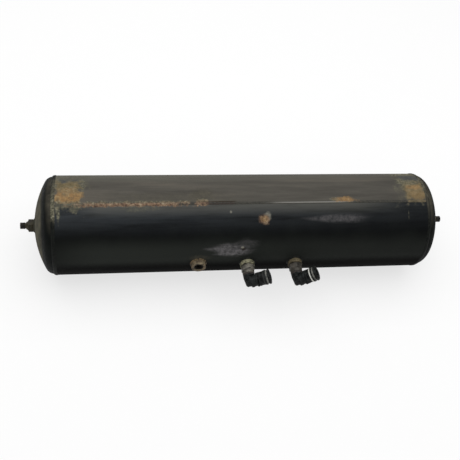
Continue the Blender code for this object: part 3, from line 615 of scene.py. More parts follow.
# %% Boss enamel
def make_boss_enamel(name, under, over, dust, rust_amount, blotch, bore_at=None):
    """Two tones of metal, dust on top and specks of rust. The open port also gives its bore's X."""
    finish, tree, shader = new_finish(name, specular=0.2)
    spot = node(tree, "ShaderNodeTexCoord", {}, out="Object")
    fine = wear(tree, spot, 5)
    broad = wear(tree, spot, blotch, 5.0)
    shade = node(tree, "ShaderNodeValToRGB", {0: broad}, stops=((0.38, under), (0.62, over)))
    layer = (shade, rising(tree, fine, -0.9, 1.5))
    dust_and_sheen = both(tree, facing_up(tree), rising(tree, broad, 0.3, 0.65))
    layer = laid_over(tree, layer, (linear(dust), 0.75), both(tree, dust_and_sheen, 0.6))
    spots = rising(tree, broad, 0.62 - rust_amount * 0.2, 0.68 - rust_amount * 0.15)
    spots = both(tree, spots, min(1.0, rust_amount * 1.4))
    layer = laid_over(tree, layer, wear_layer(tree, spot, "weld rust"), spots)
    if bore_at is not None:
        # The side is browner than the bare ring that a fitting's seal once covered.
        side = rising(tree, part_of(tree, spot, 1), -RADIUS - mm(11.4), -RADIUS - mm(9.6))
        layer = laid_over(tree, layer, (linear("#46352a"), 0.85), both(tree, side, 0.4))
        # Old oil and painted shade blacken the thread, which is whatever lies near the bore's axis.
        away = node(tree, "ShaderNodeVectorMath", {0: spot, 1: (bore_at, 0, 0)}, operation="SUBTRACT")
        flat = node(tree, "ShaderNodeVectorMath", {0: away, 1: (1, 0, 1)}, operation="MULTIPLY")
        radius = node(tree, "ShaderNodeVectorMath", {0: flat}, out=1, operation="LENGTH")
        inside = rising(tree, radius, mm(12.0), mm(11.2))
        layer = laid_over(tree, layer, (linear("#120d0a"), 0.5), both(tree, inside, 0.92))
    connect(tree, shader, layer, fine, 0.4)
    return finish


RUSTY_BOSS = make_boss_enamel("rusted_open_port", "#352c22", "#6c5f4b", "#9c9478", 0.4, 8, bore_at=PORT_XS[0])
RUSTY_BEAD = make_boss_enamel("rusted_weld_of_open_port", "#241d17", "#54432f", "#8a7a5a", 0.4, 9)
OLIVE_BOSS = make_boss_enamel("oily_port_boss", "#33322a", "#747159", "#9a977c", 0.1, 7)
BROWN_BOSS = make_boss_enamel("oily_port_boss_in_brown", "#27241c", "#4a4232", "#655c45", 0.15, 7)
print("boss finishes made")

# %% [markdown]
# ## Rusted weld and bare weld
# A weld bead is the first place to rust, because the spray is thin on its ripples. On the left of the
# long seam rust has broken through. On the right most of the ripples are only rubbed, and a painted
# highlight runs along the crest. One finish does both, and changes over along the length.

# %% Seam finish
SEAM_MARKS = (
    # Layer, (from, to) along X in mm, (from, to) round the shell in degrees, amount, ragged
    ("mud", (-464, -390), (70, 84), 0.8, 1.8),
    ("weld rust", (-412, -158), (70, 79.2), 0.95, 2.4),
    ("pale mud", (-402, -166), (77.6, 84), 0.5, 3.6),
    ("weld rust", (-128, -96), (70, 84), 0.75, 3.4),
    # Painted shade under the edge of the bead.
    ("dark", (-100, -32), (70, 77.3), 0.9, 1.2),
    ("rust", (224, 278), (77, 84), 0.7, 2.2),
    ("brown", (410, 462), (70, 84), 0.6, 2.2),
)


def make_seam_finish():
    finish, tree, shader = new_finish("seam_weld_rust_and_painted_highlight", specular=0.3)
    spot = node(tree, "ShaderNodeTexCoord", {}, out="Object")
    sheet = unrolled(tree, spot)[2]
    fine = wear(tree, spot, 5)
    edges = edge_grain(tree, spot)
    base = node(tree, "ShaderNodeValToRGB", {0: fine}, stops=((0.4, "#27261f"), (0.65, "#403e37")))
    layer = (base, rising(tree, fine, -0.8, 1.4))
    # On the right the crest is rubbed, and a painted highlight along it draws a pale line.
    crest = mark(tree, sheet, fine, (70, 247), (75.9, 77.6), 0.5, 0.8, box=True)
    layer = laid_over(tree, layer, (linear("#74726c"), 0.45), both(tree, crest, 0.9))
    layers = wear_layers(tree, spot, [line[0] for line in SEAM_MARKS])
    for kind, length, turn, amount, ragged in SEAM_MARKS:
        place = mark(tree, sheet, edges, length, turn, ragged, 0.4, box=True)
        layer = laid_over(tree, layer, layers[kind], both(tree, place, amount))
    connect(tree, shader, layer, fine, 0.5)
    return finish


SEAM_FINISH = make_seam_finish()
print("seam finish:", SEAM_FINISH.name, "with", len(SEAM_MARKS), "marks")

# %% [markdown]
# ## Metals and plastics of the fittings
# The studs are zinc-plated steel that has gone chalky grey, the test points are brass under oily dirt,
# and the elbows are glass-filled nylon, moulded black. On the elbows, dust settles on what faces up, and
# the first millimetres above the stud are made browner. Their finish therefore also reads which way a
# place faces and how high above the shell it is.

# %% Fitting finishes
def make_fitting(name, under, over, dust, dusty, specular, metallic, matt, blotch, depth, settled=0.0,
                 browned_at_stud=False):
    """Two tones in blotches under a film of dust. More matt is duller, and settled dust lies on top."""
    finish, tree, shader = new_finish(name, specular, metallic)
    spot = node(tree, "ShaderNodeTexCoord", {}, out="Object")
    fine = wear(tree, spot, blotch / 4, 4.0)
    broad = wear(tree, spot, blotch, 4.0)
    shade = node(tree, "ShaderNodeValToRGB", {0: broad}, stops=((0.38, under), (0.62, over)))
    layer = (shade, rising(tree, fine, -matt, 2.0 - matt))
    dust_and_sheen = rising(tree, broad, 0.38, 0.62)
    layer = laid_over(tree, layer, (linear(dust), 0.8), both(tree, dust_and_sheen, dusty))
    if settled:
        top = both(tree, facing_up(tree, 0.1, 1.0), dust_and_sheen)
        layer = laid_over(tree, layer, (linear(dust), 0.7), both(tree, top, settled))
    if browned_at_stud:
        # Where the elbow leaves its stud, it is made browner.
        near = rising(tree, part_of(tree, spot, 1), -RADIUS - mm(43), -RADIUS - mm(38))
        layer = laid_over(tree, layer, (linear("#4a4340"), 0.75), both(tree, near, 0.6))
    connect(tree, shader, layer, fine, depth)
    return finish


# Zinc plating goes chalky, so it is pale and dull, and mirrors less than bare metal.
ZINC = make_fitting("chalky_zinc_plated_steel", "#45433d", "#817e76", "#67604f", dusty=0.35,
                    specular=0.5, metallic=0.45, matt=0.45, blotch=12, depth=0.25)
ZINC_BROWN = make_fitting("dirty_zinc_plated_steel", "#262421", "#4b4741", "#433f36", dusty=0.4,
                          specular=0.5, metallic=0.4, matt=0.45, blotch=12, depth=0.25)
# Brass turns brown, and under oily dirt it keeps only a yellow cast.
BRASS = make_fitting("tarnished_brass", "#4e452c", "#7b6c43", "#3b3829", dusty=0.55,
                     specular=0.5, metallic=0.6, matt=0.4, blotch=8, depth=0.25)
OILY_BRASS = make_fitting("brass_under_oily_dirt", "#1c1a13", "#46402a", "#2c2b22", dusty=0.6,
                          specular=0.4, metallic=0.3, matt=0.4, blotch=7, depth=0.3)
# The glass fibres near the surface make moulded nylon dull and deep black. Only its edges catch light.
NYLON = make_fitting("black_glass_filled_nylon", "#050606", "#0c0e0e", "#3a3e3d", dusty=0.08,
                     specular=0.16, metallic=0.0, matt=0.55, blotch=8, depth=0.1, settled=0.35, browned_at_stud=True)
# A pale grey for the groove round each collar, which is a painted highlight.
GROOVE_HIGHLIGHT = make_fitting("painted_highlight_in_nylon_groove", "#3f403d", "#7b7b76", "#8b8a82", dusty=0.4,
                           specular=0.2, metallic=0.0, matt=0.4, blotch=6, depth=0.1)
CAP_RUBBER = make_fitting("black_dust_cap", "#0c0c0b", "#161614", "#3d392f", dusty=0.25,
                          specular=0.2, metallic=0.0, matt=0.6, blotch=6, depth=0.12)
# The rings are turned acetal: smooth and waxy. One stays white and the soiled one looks nearly black.
WHITE_RING = make_fitting("white_acetal", "#c9c9c2", "#dcdcd6", "#b0aea2", dusty=0.4,
                          specular=0.5, metallic=0.0, matt=0.4, blotch=12, depth=0.08)
GREY_RING = make_fitting("soiled_acetal", "#171918", "#262827", "#3b3c38", dusty=0.35,
                         specular=0.25, metallic=0.0, matt=0.4, blotch=8, depth=0.08)
# Hidden pieces: black seals, bright wire and clips, and drawn brass.
RUBBER = make_fitting("black_rubber", "#0b0b0b", "#151515", "#1b1b1a", dusty=0.3,
                      specular=0.3, metallic=0.0, matt=0.7, blotch=6, depth=0.05)
SPRING = make_fitting("bright_spring_steel", "#6f6f6c", "#8f8f8b", "#5c5b56", dusty=0.3,
                      specular=0.5, metallic=0.9, matt=0.25, blotch=6, depth=0.05)
SLEEVE = make_fitting("drawn_brass_sleeve", "#8a7338", "#b09550", "#6d6036", dusty=0.3,
                      specular=0.5, metallic=0.9, matt=0.25, blotch=6, depth=0.05)
print("fitting finishes made")

# %% [markdown]
# ## Shell
# The real shell is one rolled sheet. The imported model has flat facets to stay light. Here it is spun
# again with enough facets to look round, and the holes for the bosses are cut through it, because the
# open port lets the eye in.

# %% Shell
WALL, BOSS_RADIUS = 2.5, 18.0


def make_shell():
    stations = [-HALF_MM + 2 * HALF_MM * step / 48 for step in range(49)]
    outline = [(RADIUS_MM, height) for height in stations]
    outline += [(RADIUS_MM - WALL, HALF_MM), (RADIUS_MM - WALL, -HALF_MM)]
    shell = put("tank_shell", turned(outline, 192), ALONG_X, "tank", ["shell"], ENAMEL)
    for number, port in enumerate(PORTS, 1):
        # The drill is a little wider than the boss and reaches through the wall.
        drill = turned([(0, -20), (BOSS_RADIUS + 0.1, -20), (BOSS_RADIUS + 0.1, 6), (0, 6)], 64)
        cut(shell, loose(f"drill_{number}", drill, port))
    return shell


SHELL = make_shell()
print("shell:", len(SHELL.data.polygons), "faces")

# %% [markdown]
# ## Dished heads
# A head is pressed: a shallow sphere, a tight knuckle and a short straight flange that slips into the
# shell. The outline is made of the same arcs, inside and out, so light rolls over the knuckle as it does
# on the pressing.

# %% Heads
# All in millimetres. The head slips inside the shell, so it is smaller by the wall and a slight gap.
HEAD_RADIUS = RADIUS_MM - 2.8
CROWN, KNUCKLE = 227.0, 22.0
FLANGE, LAP = 4.2, 18.0
HEAD_WALL, BOSS_HOLE = 3.0, 17.3
CROWN_CENTRE = FLANGE - math.sqrt((CROWN - KNUCKLE) ** 2 - (HEAD_RADIUS - KNUCKLE) ** 2)
HEAD_DEPTH = CROWN_CENTRE + CROWN


def head_meridian(inset, steps):
    """The arcs of knuckle and crown, up to the hole of the end boss. The inset gives the inner skin."""
    knuckle = (HEAD_RADIUS - KNUCKLE, FLANGE)
    turn = math.acos(knuckle[0] / (CROWN - KNUCKLE))
    last = math.acos(BOSS_HOLE / (CROWN - inset))
    rolled = bend(knuckle, KNUCKLE - inset, 0, turn, steps)
    return rolled + bend((0, CROWN_CENTRE), CROWN - inset, turn, last, steps * 2)[1:]


for side, end in ENDS.items():
    outside = [(HEAD_RADIUS, -LAP)] + head_meridian(0, 14)
    inside = [(HEAD_RADIUS - HEAD_WALL, -LAP)] + head_meridian(HEAD_WALL, 8)
    put(f"dished_head_{side}", turned(outside + inside[::-1], 192), end, "tank", [f"head_{side}"],
        HEAD_ENAMEL)
print("head depth, mm:", round(HEAD_DEPTH, 2))

# %% [markdown]
# ## Weld beads
# A welding machine leaves a row of overlapping crescents, about 2.5 mm apart. They could be painted on,
# but at a low light they stand out at the edge, so they are real ripples: the bead is spun or swept in
# very short steps, and each point sinks a little between two crests.

# %% Ring beads
RIPPLE, RIPPLE_DEPTH = 2.5, 0.28


def ring_bead(outline, radius, steps_each):
    """A bead round a circle, with ripples that sink its outer points."""
    ripples = round(math.tau * radius / RIPPLE)
    shape = turned(outline, ripples * steps_each)
    for point in shape.verts:
        away = math.hypot(point.co.x, point.co.y)
        turn = math.atan2(point.co.y, point.co.x)
        phase = ripples * turn + point.co.z / mm(RIPPLE) * 2.0
        sink = mm(RIPPLE_DEPTH) * (0.5 - 0.5 * math.cos(phase))
        if away > mm(radius):
            point.co.x *= 1 - sink / away
            point.co.y *= 1 - sink / away
    return shape


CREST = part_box("head_weld_left")[1][2] * 1000
LOW = HEAD_RADIUS + 0.1
BEAD = [(LOW, -1), (LOW, 6.2), (LOW + 1.2, 5.6), (LOW + 2.6, 4.0), (CREST - 0.1, 1.6), (CREST, -0.4),
        (CREST - 0.2, -2.2), (RADIUS_MM - 0.05, -3.6), (RADIUS_MM - 0.6, -3.0), (RADIUS_MM - 0.6, 0.1)]
for side, end in ENDS.items():
    bead = ring_bead(BEAD, RADIUS_MM - 1.5, 3)
    put(f"head_bead_{side}", bead, end, "tank", [f"head_weld_{side}"], WELD_ENAMEL, 60)
print("head beads reach", round(CREST, 2), "mm from the axis")

# %% [markdown]
# ## Long seam
# The seam is welded in one straight pass. A spin with no angle and a step along X is a sweep, so the same
# operator makes it. The bead is flatter than the ring beads and stops just short of them.

# %% Seam bead
def make_seam():
    low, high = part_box("shell_seam_weld")
    turn = math.atan2((low[2] + high[2]) / 2, -(low[1] + high[1]) / 2)
    length = high[0] - low[0]
    width, height = 3.5, 1.25  # Half the width of the bead and its rise, in millimetres.
    steps = round(length * 1000 / RIPPLE * 3)
    shape = bmesh.new()
    across = [-width + 2 * width * step / 8 for step in range(9)]
    outline = [(offset, height * math.cos(math.pi / 2 * offset / width) ** 0.8) for offset in across]
    outline = [(-width, -0.8)] + outline + [(width, -0.8)]
    points = [shape.verts.new((low[0], mm(offset), mm(rise))) for offset, rise in outline]
    edges = [shape.edges.new(pair) for pair in zip(points, points[1:] + points[:1])]
    bmesh.ops.spin(shape, geom=points + edges, cent=(0, 0, 0), axis=(1, 0, 0), dvec=(length / steps, 0, 0),
                   angle=0, steps=steps, use_merge=False)
    # The crescents bow back towards the sides of the bead, where they fade out.
    for point in shape.verts:
        bow = (point.co.y / mm(width)) ** 2
        phase = math.tau * (point.co.x / mm(RIPPLE) - bow * 0.7)
        if point.co.z > 0:
            point.co.z -= mm(RIPPLE_DEPTH) * (0.5 - 0.5 * math.cos(phase)) * (1 - bow)
    ends = [edge for edge in shape.edges if edge.is_boundary]
    bmesh.ops.edgeloop_fill(shape, edges=ends)
    bmesh.ops.recalc_face_normals(shape, faces=shape.faces)
    radial = Vector((0, -math.cos(turn), math.sin(turn)))
    seat = Matrix.Translation(radial * (RADIUS - mm(0.15))) @ Matrix.Rotation(math.pi / 2 - turn, 4, "X")
    put("long_seam_bead", shape, seat, "tank", ["shell_seam_weld"], SEAM_FINISH, 60)
    return math.degrees(turn)


print("seam lies at", round(make_seam(), 1), "degrees above the ports")

# %% [markdown]
# ## A real thread
# The thread of the open port can be seen, so it is a real helix: a triangle is spun inside the bore while
# it climbs one pitch each turn.

# %% Thread
def helix(radius, depth, pitch, low, high, facets=48):
    """An internal thread ridge: a triangle that points at the axis, spun and lifted."""
    shape = bmesh.new()
    corners = ((radius + 0.25, -pitch * 0.46), (radius - depth, 0), (radius + 0.25, pitch * 0.46))
    points = [shape.verts.new((mm(away), 0, mm(low + height))) for away, height in corners]
    edges = [shape.edges.new(pair) for pair in zip(points, points[1:] + points[:1])]
    turns = (high - low) / pitch
    steps = round(turns * facets)
    bmesh.ops.spin(shape, geom=points + edges, cent=(0, 0, 0), axis=(0, 0, 1), angle=math.tau * turns,
                   dvec=(0, 0, mm((high - low) / steps)), steps=steps, use_merge=False)
    ends = [edge for edge in shape.edges if edge.is_boundary]
    bmesh.ops.edgeloop_fill(shape, edges=ends)
    bmesh.ops.recalc_face_normals(shape, faces=shape.faces)
    return shape


def joined(*shapes):
    """Several bmeshes as one."""
    whole = shapes[0]
    for extra in shapes[1:]:
        mesh = bpy.data.meshes.new("joined")
        extra.to_mesh(mesh)
        extra.free()
        whole.from_mesh(mesh)
        bpy.data.meshes.remove(mesh)
    return whole

# %% [markdown]
# ## Port bosses and their welds
# A boss is a short steel bush, turned, threaded M22 x 1.5 and welded into a hole. The shell is curved, so
# the fillet weld round the boss is a saddle: the ring bead is turned flat, and then each of its points
# sinks by as much as the shell falls away there.

# %% Port bosses
BORE, PITCH, THREAD_DEPTH = 11.0, 1.5, 0.8


def make_boss(name, radius, low, face, place, nodes, finish):
    """A threaded bush from its low end to its face, in millimetres, with a chamfer at the mouth."""
    outline = [(BORE, low), (radius, low), (radius, face), (13.0, face), (BORE, face - 2.2)]
    thread = helix(BORE, THREAD_DEPTH, PITCH, low + PITCH, face - 2.6)
    whole = joined(turned(outline, 96, 0.5), thread)
    put(name, whole, place, "tank", nodes, finish)


def saddle_bead(inner, leg, place, name, nodes, finish):
    """A fillet weld round a boss that stands on the curved shell."""
    outline = [(inner, -0.6), (inner + leg + 0.2, -0.6), (inner + leg * 0.8, leg * 0.28),
               (inner + leg * 0.42, leg * 0.62), (inner, leg)]
    shape = ring_bead(outline, inner + 0.4, 4)
    for point in shape.verts:
        point.co.z -= RADIUS - math.sqrt(RADIUS**2 - point.co.y**2)
    put(name, shape, place, "tank", nodes, finish, 60)


BOSS_FINISHES = ((RUSTY_BOSS, RUSTY_BEAD), (OLIVE_BOSS, WELD_ENAMEL), (BROWN_BOSS, WELD_ENAMEL))
for number, port in enumerate(PORTS, 1):
    finish, bead = BOSS_FINISHES[number - 1]
    make_boss(f"port_bush_{number}", BOSS_RADIUS, -5.5, 12.0, port, [f"port_boss_{number}"], finish)
    nodes = [f"port_boss_weld_{number}"]
    saddle_bead(BOSS_RADIUS + 0.05, 3.2, port, f"port_bead_{number}", nodes, bead)
print("port bosses made:", len(PORTS))

# %% [markdown]
# ## End bosses and their welds
# The bosses of the test points stand on the tank's axis, where the crown is the same all round. Their
# weld is therefore a plain ring.

# %% End bosses
END_BOSS_RADIUS, END_BOSS_LENGTH = 17.0, 13.0
END_FACE = HEAD_DEPTH + 2.0
LIFT_OFF = CROWN_CENTRE + math.sqrt(CROWN**2 - 17.1**2)  # Where the crown meets the end boss.
END_BEAD = [(17.05, LIFT_OFF - 0.4), (20.8, LIFT_OFF - 0.7), (19.6, LIFT_OFF + 0.5), (18.2, LIFT_OFF + 1.0),
            (17.05, LIFT_OFF + 1.3)]
for side, end in ENDS.items():
    nodes = [f"end_boss_{side}"]
    make_boss(f"end_bush_{side}", END_BOSS_RADIUS, END_FACE - END_BOSS_LENGTH, END_FACE, end, nodes,
              HEAD_ENAMEL)
    bead, nodes = ring_bead(END_BEAD, 17.5, 4), [f"end_boss_weld_{side}"]
    put(f"end_bead_{side}", bead, end, "tank", nodes, WELD_ENAMEL, 60)
print("end bosses made:", len(ENDS))

# %% [markdown]
# ## Hexagons
# A hexagon is milled from round bar and its corners are chamfered on the lathe, which leaves the curved
# arcs on each flat. Crossing a hexagonal prism with a turned, chamfered bar gives exactly those arcs.

# %% Hexagon pieces
ACROSS_FLATS = 30.0
CORNER = ACROSS_FLATS / math.sqrt(3)
EDGE_ANGLE = 28  # In degrees. Edges that turn by more are rounded, and shaded as edges.


def prism(low, high):
    """A bar of hexagonal section between two heights."""
    shape = bmesh.new()
    bmesh.ops.create_cone(shape, cap_ends=True, segments=6, radius1=mm(CORNER), radius2=mm(CORNER),
                          depth=mm(high - low), matrix=Matrix.Translation((0, 0, mm((low + high) / 2))))
    return shape


def hexagonal(name, outline, place, body, nodes, finish):
    """A turned piece whose widest part is milled to a hexagon."""
    piece = put(name, turned(outline, 96), place, body, nodes, finish)
    heights = [height for _, height in outline]
    cut(piece, loose(name + "_prism", prism(min(heights) - 5, max(heights) + 5), place), "INTERSECT")
    softened = bmesh.new()
    softened.from_mesh(piece.data)
    # The flats come out of the cut in slivers. They are joined first, so that the bevel runs cleanly.
    bmesh.ops.dissolve_limit(softened, angle_limit=math.radians(0.5), verts=softened.verts,
                             edges=softened.edges)
    round_edges(softened, 0.3, 2, EDGE_ANGLE)
    softened.to_mesh(piece.data)
    softened.free()
    piece.data.shade_smooth()
    piece.data.set_sharp_from_angle(angle=math.radians(EDGE_ANGLE))


for number in (1, 2):
    foot, hex_top, top = 12.3, 26.5, 36.0  # Heights above the shell, in millimetres.
    outline = [(5.5, 0.8), (10.0, 0.8), (10.6, 1.6), (10.6, foot - 1.6), (9.9, foot - 1.2), (9.9, foot),
               (15.2, foot), (CORNER, foot + 1.5), (CORNER, hex_top - 1.7), (14.9, hex_top),
               (14.3, hex_top + 0.4), (14.3, hex_top + 1.6), (14.8, hex_top + 2.0), (14.8, top - 0.6),
               (14.3, top), (9.8, top), (9.8, 20.3), (5.5, 20.3)]
    hexagonal(f"elbow_{number}_hex_stud", outline, PORTS[number], "tank", [f"elbow_{number}_stud"],
              ZINC if number == 1 else ZINC_BROWN)
print("studs made")

# %% [markdown]
# ## Where the elbows sit
# An elbow is modelled upright, with Z on the axis of its port and X along its outlet. One matrix leans it
# to the angle that its mount states. A second one goes on from the bend to the outlet, whose pieces are
# turned about their own Z.

# %% Places of the elbows
SWIVELS = []
for number in (1, 2):
    axis = MOUNTS[f"tube_mouth_{number}"]["axis"]
    SWIVELS.append(PORTS[number] @ Matrix.Rotation(math.atan2(axis[2], axis[0]), 4, "Z"))
LIFT = OUTLET_HEIGHT * 1000
TO_OUTLET = Matrix.Translation((0, 0, OUTLET_HEIGHT)) @ Matrix.Rotation(math.pi / 2, 4, "Y")
OUTLETS = [swivel @ TO_OUTLET for swivel in SWIVELS]
print("the outlets lie", round(LIFT, 1), "mm above the shell")

# %% [markdown]
# ## Skin of an elbow
# The body is injection moulded, so it has even walls, ribs in place of solid lumps, and every edge
# rounded by the tool. Modelling each fillet by hand would be slow. The ribs and drums are therefore left
# to run into each other, and the next step melts them together.

# %% Drums and ribs
def moved(shape, matrix):
    """The same shape in another place."""
    bmesh.ops.transform(shape, matrix=matrix, verts=shape.verts)
    return shape


def bar(low, high):
    """A rectangular bar between two corners, in millimetres."""
    shape = bmesh.new()
    bmesh.ops.create_cube(shape, size=1)
    size = [mm(b - a) for a, b in zip(low, high)]
    centre = [mm((a + b) / 2) for a, b in zip(low, high)]
    bmesh.ops.scale(shape, vec=size, verts=shape.verts)
    bmesh.ops.translate(shape, vec=centre, verts=shape.verts)
    return shape


def elbow_skin():
    """Drums and ribs of the body, overlapping. Z is the port's axis and X the outlet."""
    neck = [(0, 34.0), (9.2, 34.0), (9.2, 36.3), (14.3, 36.3), (14.3, 41), (13.4, 44), (9.6, LIFT + 6),
            (7, LIFT + 11), (0, LIFT + 11)]
    parts = [turned(neck)]
    # Back lobe with its long chamfer, which gives the elbow its slanted outer corner.
    lobe = [(0, 42), (10.0, 42), (10.0, 45), (5.6, LIFT + 10.5), (3.6, LIFT + 12.8), (0, LIFT + 13)]
    parts.append(moved(turned(lobe, 64), Matrix.Translation((mm(-4.2), 0, 0))))
    # Outlet: a core that widens evenly into the cup, plain on the inner side.
    core = [(0, -8.5), (8.5, -8.5), (12.6, -3), (13.2, 2), (13.4, 12), (15.2, 20), (15.6, 32), (17.0, 35.9),
            (0, 35.9)]
    parts.append(moved(turned(core), TO_OUTLET))
    # Half hoops that stand out on the far side only: each is a drum that is shifted away from the port.
    # The last one isn't shifted, and is the rim of the cup.
    for start, end, radius, shift in (
        (3.6, 10.4, 13.8, 2.9),
        (9.0, 18.0, 13.6, 2.0),
        (18.8, 22.4, 16.2, 2.2),
        (24.8, 28.0, 16.4, 1.7),
        (33.0, 36.0, 17.2, 0.0),
    ):
        hoop = turned([(0, start), (radius, start), (radius, end), (0, end)])
        parts.append(moved(hoop, TO_OUTLET @ Matrix.Translation((mm(-shift), 0, 0))))
    # Lengthwise ribs that divide the cup into pockets.
    for turn in range(0, 360, 45):
        stave = bar((14.6, -1.3, 17.0), (17.15, 1.3, 36.0))
        parts.append(moved(stave, TO_OUTLET @ Matrix.Rotation(math.radians(turn + 22.5), 4, "Z")))
    # Webs on both sides stiffen the corner.
    parts.append(bar((-1.5, -14.4, LIFT - 12), (16, 14.4, LIFT - 9)))
    parts.append(bar((-7, -13.9, LIFT + 1), (15, 13.9, LIFT + 3.4)))
    # A round pip stands on each flank.
    for sign in (-1, 1):
        pip = turned([(0, 0), (2.3, 0), (2.3, 15.4), (0, 15.4)], 32)
        turn = Matrix.Rotation(sign * math.pi / 2, 4, "X")
        parts.append(moved(pip, Matrix.Translation((mm(5.0), 0, mm(41.0))) @ turn))
    return joined(*parts)

# %% [markdown]
# ## Melt and cut
# A voxel remesh rebuilds the skin out of half-millimetre cubes, so that every overlap disappears, and a
# smoothing pass rounds the edges as the mould does. The socket is cut last, so that its steps stay sharp.

# %% Elbow bodies
def make_body(number):
    """Melts the skin into one moulding, then cuts the tube's socket and a slot in the side of the cup."""
    piece = put(f"elbow_{number}_moulding", elbow_skin(), SWIVELS[number - 1], f"elbow_{number}",
                [f"elbow_{number}_body"], NYLON)
    melt = piece.modifiers.new("melt", "REMESH")
    melt.mode = "VOXEL"
    melt.voxel_size = mm(0.5)
    relax = piece.modifiers.new("relax", "SMOOTH")
    relax.factor = 0.6
    relax.iterations = 5
    settle(piece, 60)
    socket = [(0, 10), (5.0, 10), (5.0, 17), (8.3, 17), (8.3, 26), (12.5, 26), (12.5, 44), (0, 44)]
    cut(piece, loose("socket", turned(socket, 64), OUTLETS[number - 1]), smooth=40)
    slot = bar((-2.2, 13.4, 29.0), (2.2, 20, 32.2))
    place = OUTLETS[number - 1] @ Matrix.Rotation(math.radians(38), 4, "Z")
    cut(piece, loose("slot", slot, place), smooth=40)
    return piece


for number in (1, 2):
    print("elbow body", number, "faces:", len(make_body(number).data.polygons))

# %% [markdown]
# ## Collars and rings of the elbows
# The coloured ring marks the tube's size. The screw collar holds the grab ring and has shallow flutes for
# the fingers. The release ring is pressed to let the tube go, and the thin brass sleeve keeps the tube
# round.

# %% Outlet rings
def fluted(outline, flutes, depth, low, high):
    """A turned piece whose rim is scalloped between two heights."""
    shape = turned(outline, flutes * 8, 0.25)
    widest = max(radius for radius, _ in outline)
    for point in shape.verts:
        away = math.hypot(point.co.x, point.co.y)
        if away > mm(widest - depth * 1.2) and mm(low) < point.co.z < mm(high):
            dip = max(0.0, math.cos(flutes * math.atan2(point.co.y, point.co.x)))
            point.co.x *= 1 - mm(depth) * dip / away
            point.co.y *= 1 - mm(depth) * dip / away
    return shape


for number in (1, 2):
    outlet, body = OUTLETS[number - 1], f"elbow_{number}"
    ring = turned([(12.8, 36.3), (18.0, 36.3), (18.0, 39.3), (12.8, 39.3)], 96, 0.3)
    slot, finish = ("grey_acetal", GREY_RING) if number == 1 else ("white_acetal", WHITE_RING)
    put(f"elbow_{number}_size_ring", ring, outlet, body, [f"elbow_{number}_marker_ring"], finish)
    collar = [(10.7, 33.0), (12.2, 33.0), (12.2, 39.6), (18.6, 39.6), (18.6, 43.4), (17.1, 44.0),
              (17.1, 47.4), (18.6, 48.0), (18.6, 51.0), (17.6, 52.0), (13.2, 52.0), (13.2, 48.5),
              (10.7, 48.5)]
    piece = put(f"elbow_{number}_screw_collar", fluted(collar, 24, 0.5, 39.0, 51.4), outlet, body,
                [f"elbow_{number}_collar"], NYLON)
    # The faces in the groove round the collar take a second finish: a pale grey that is a painted highlight.
    piece.data.materials.append(GROOVE_HIGHLIGHT)
    for face in piece.data.polygons:
        spot = outlet.inverted() @ face.center
        if mm(43.9) < spot.z < mm(47.5) and math.hypot(spot.x, spot.y) > mm(16):
            face.material_index = 1
    release = [(8.6, 36.0), (10.4, 36.0), (10.4, 50.3), (12.6, 50.3), (12.6, 53.3), (9.7, 53.3), (8.6, 52.2)]
    put(f"elbow_{number}_push_ring", turned(release, 96, 0.3), outlet, f"release_ring_{number}",
        [f"elbow_{number}_release_ring"], NYLON)
    sleeve = [(4.9, 17.3), (8.0, 17.3), (8.0, 18.2), (5.8, 18.2), (5.8, 40.0), (4.9, 40.0)]
    put(f"elbow_{number}_tube_sleeve", turned(sleeve, 64, 0.15), outlet, body,
        [f"elbow_{number}_support_sleeve"], SLEEVE)
print("outlet rings made")

# %% [markdown]
# ## Test points
# A test point is a brass coupling with a spring-loaded valve, so that a gauge can be screwed on. The nose
# tapers to a nipple, and a ribbed dust cap is pushed over it. The cap slides off along the tank's axis.

# %% Test points
for side, end in ENDS.items():
    foot = HEAD_DEPTH + 2.3
    hex_top = foot + 12.5
    nose = hex_top + 5.5
    tip = nose + 12.5
    outline = [(3.9, foot - 11.5), (9.9, foot - 11.5), (9.9, foot), (15.2, foot), (CORNER, foot + 1.4),
               (CORNER, hex_top - 1.4), (15.0, hex_top), (12.0, hex_top + 0.6), (9.4, nose - 1.2),
               (9.0, nose), (6.6, nose + 0.2), (6.6, nose + 1.6), (7.0, nose + 2.0), (7.0, tip - 1.2),
               (5.8, tip), (2.4, tip), (2.4, HEAD_DEPTH + 10), (3.9, HEAD_DEPTH + 10)]
    hexagonal(f"coupling_{side}", outline, end, "tank", [f"test_point_{side}_body"],
              OILY_BRASS if side == "left" else BRASS)
    low, roof = nose + 2.5, tip + 0.3
    cap = [(0, roof), (7.3, roof), (7.3, low), (8.2, low), (8.2, low + 1.6), (7.85, low + 1.9),
           (7.85, roof - 0.6), (8.2, roof - 0.3), (8.2, roof + 0.7), (7.3, roof + 1.49), (0, roof + 1.49)]
    put(f"dust_cap_{side}", fluted(cap, 18, 0.3, low + 1.5, roof), end, f"cap_{side}",
        [f"test_point_{side}_cap"], CAP_RUBBER)
print("test points made")

# %% [markdown]
# ## Valve springs
# Inside each test point a small spring pushes the valve pin outwards. A real one is wound from round
# wire, with a closed coil at each end so that it stands square. Spinning a circle round the axis, with a
# lift at each step, winds it the same way: one tight turn, a few open turns and one tight turn. When the
# pin of the real one is pressed, the spring flattens towards its retainer by the pin's stroke. Here each
# spring only gets a mesh of its own.

# %% Valve springs
WIRE, COIL, STEPS = 0.4, 3.4, 32  # Radius of the wire and of the coil in millimetres, and steps to a turn.


def far_end(node_name):
    """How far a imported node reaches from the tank's middle, in millimetres."""
    return max(abs(corner[0]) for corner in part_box(node_name)) * 1000


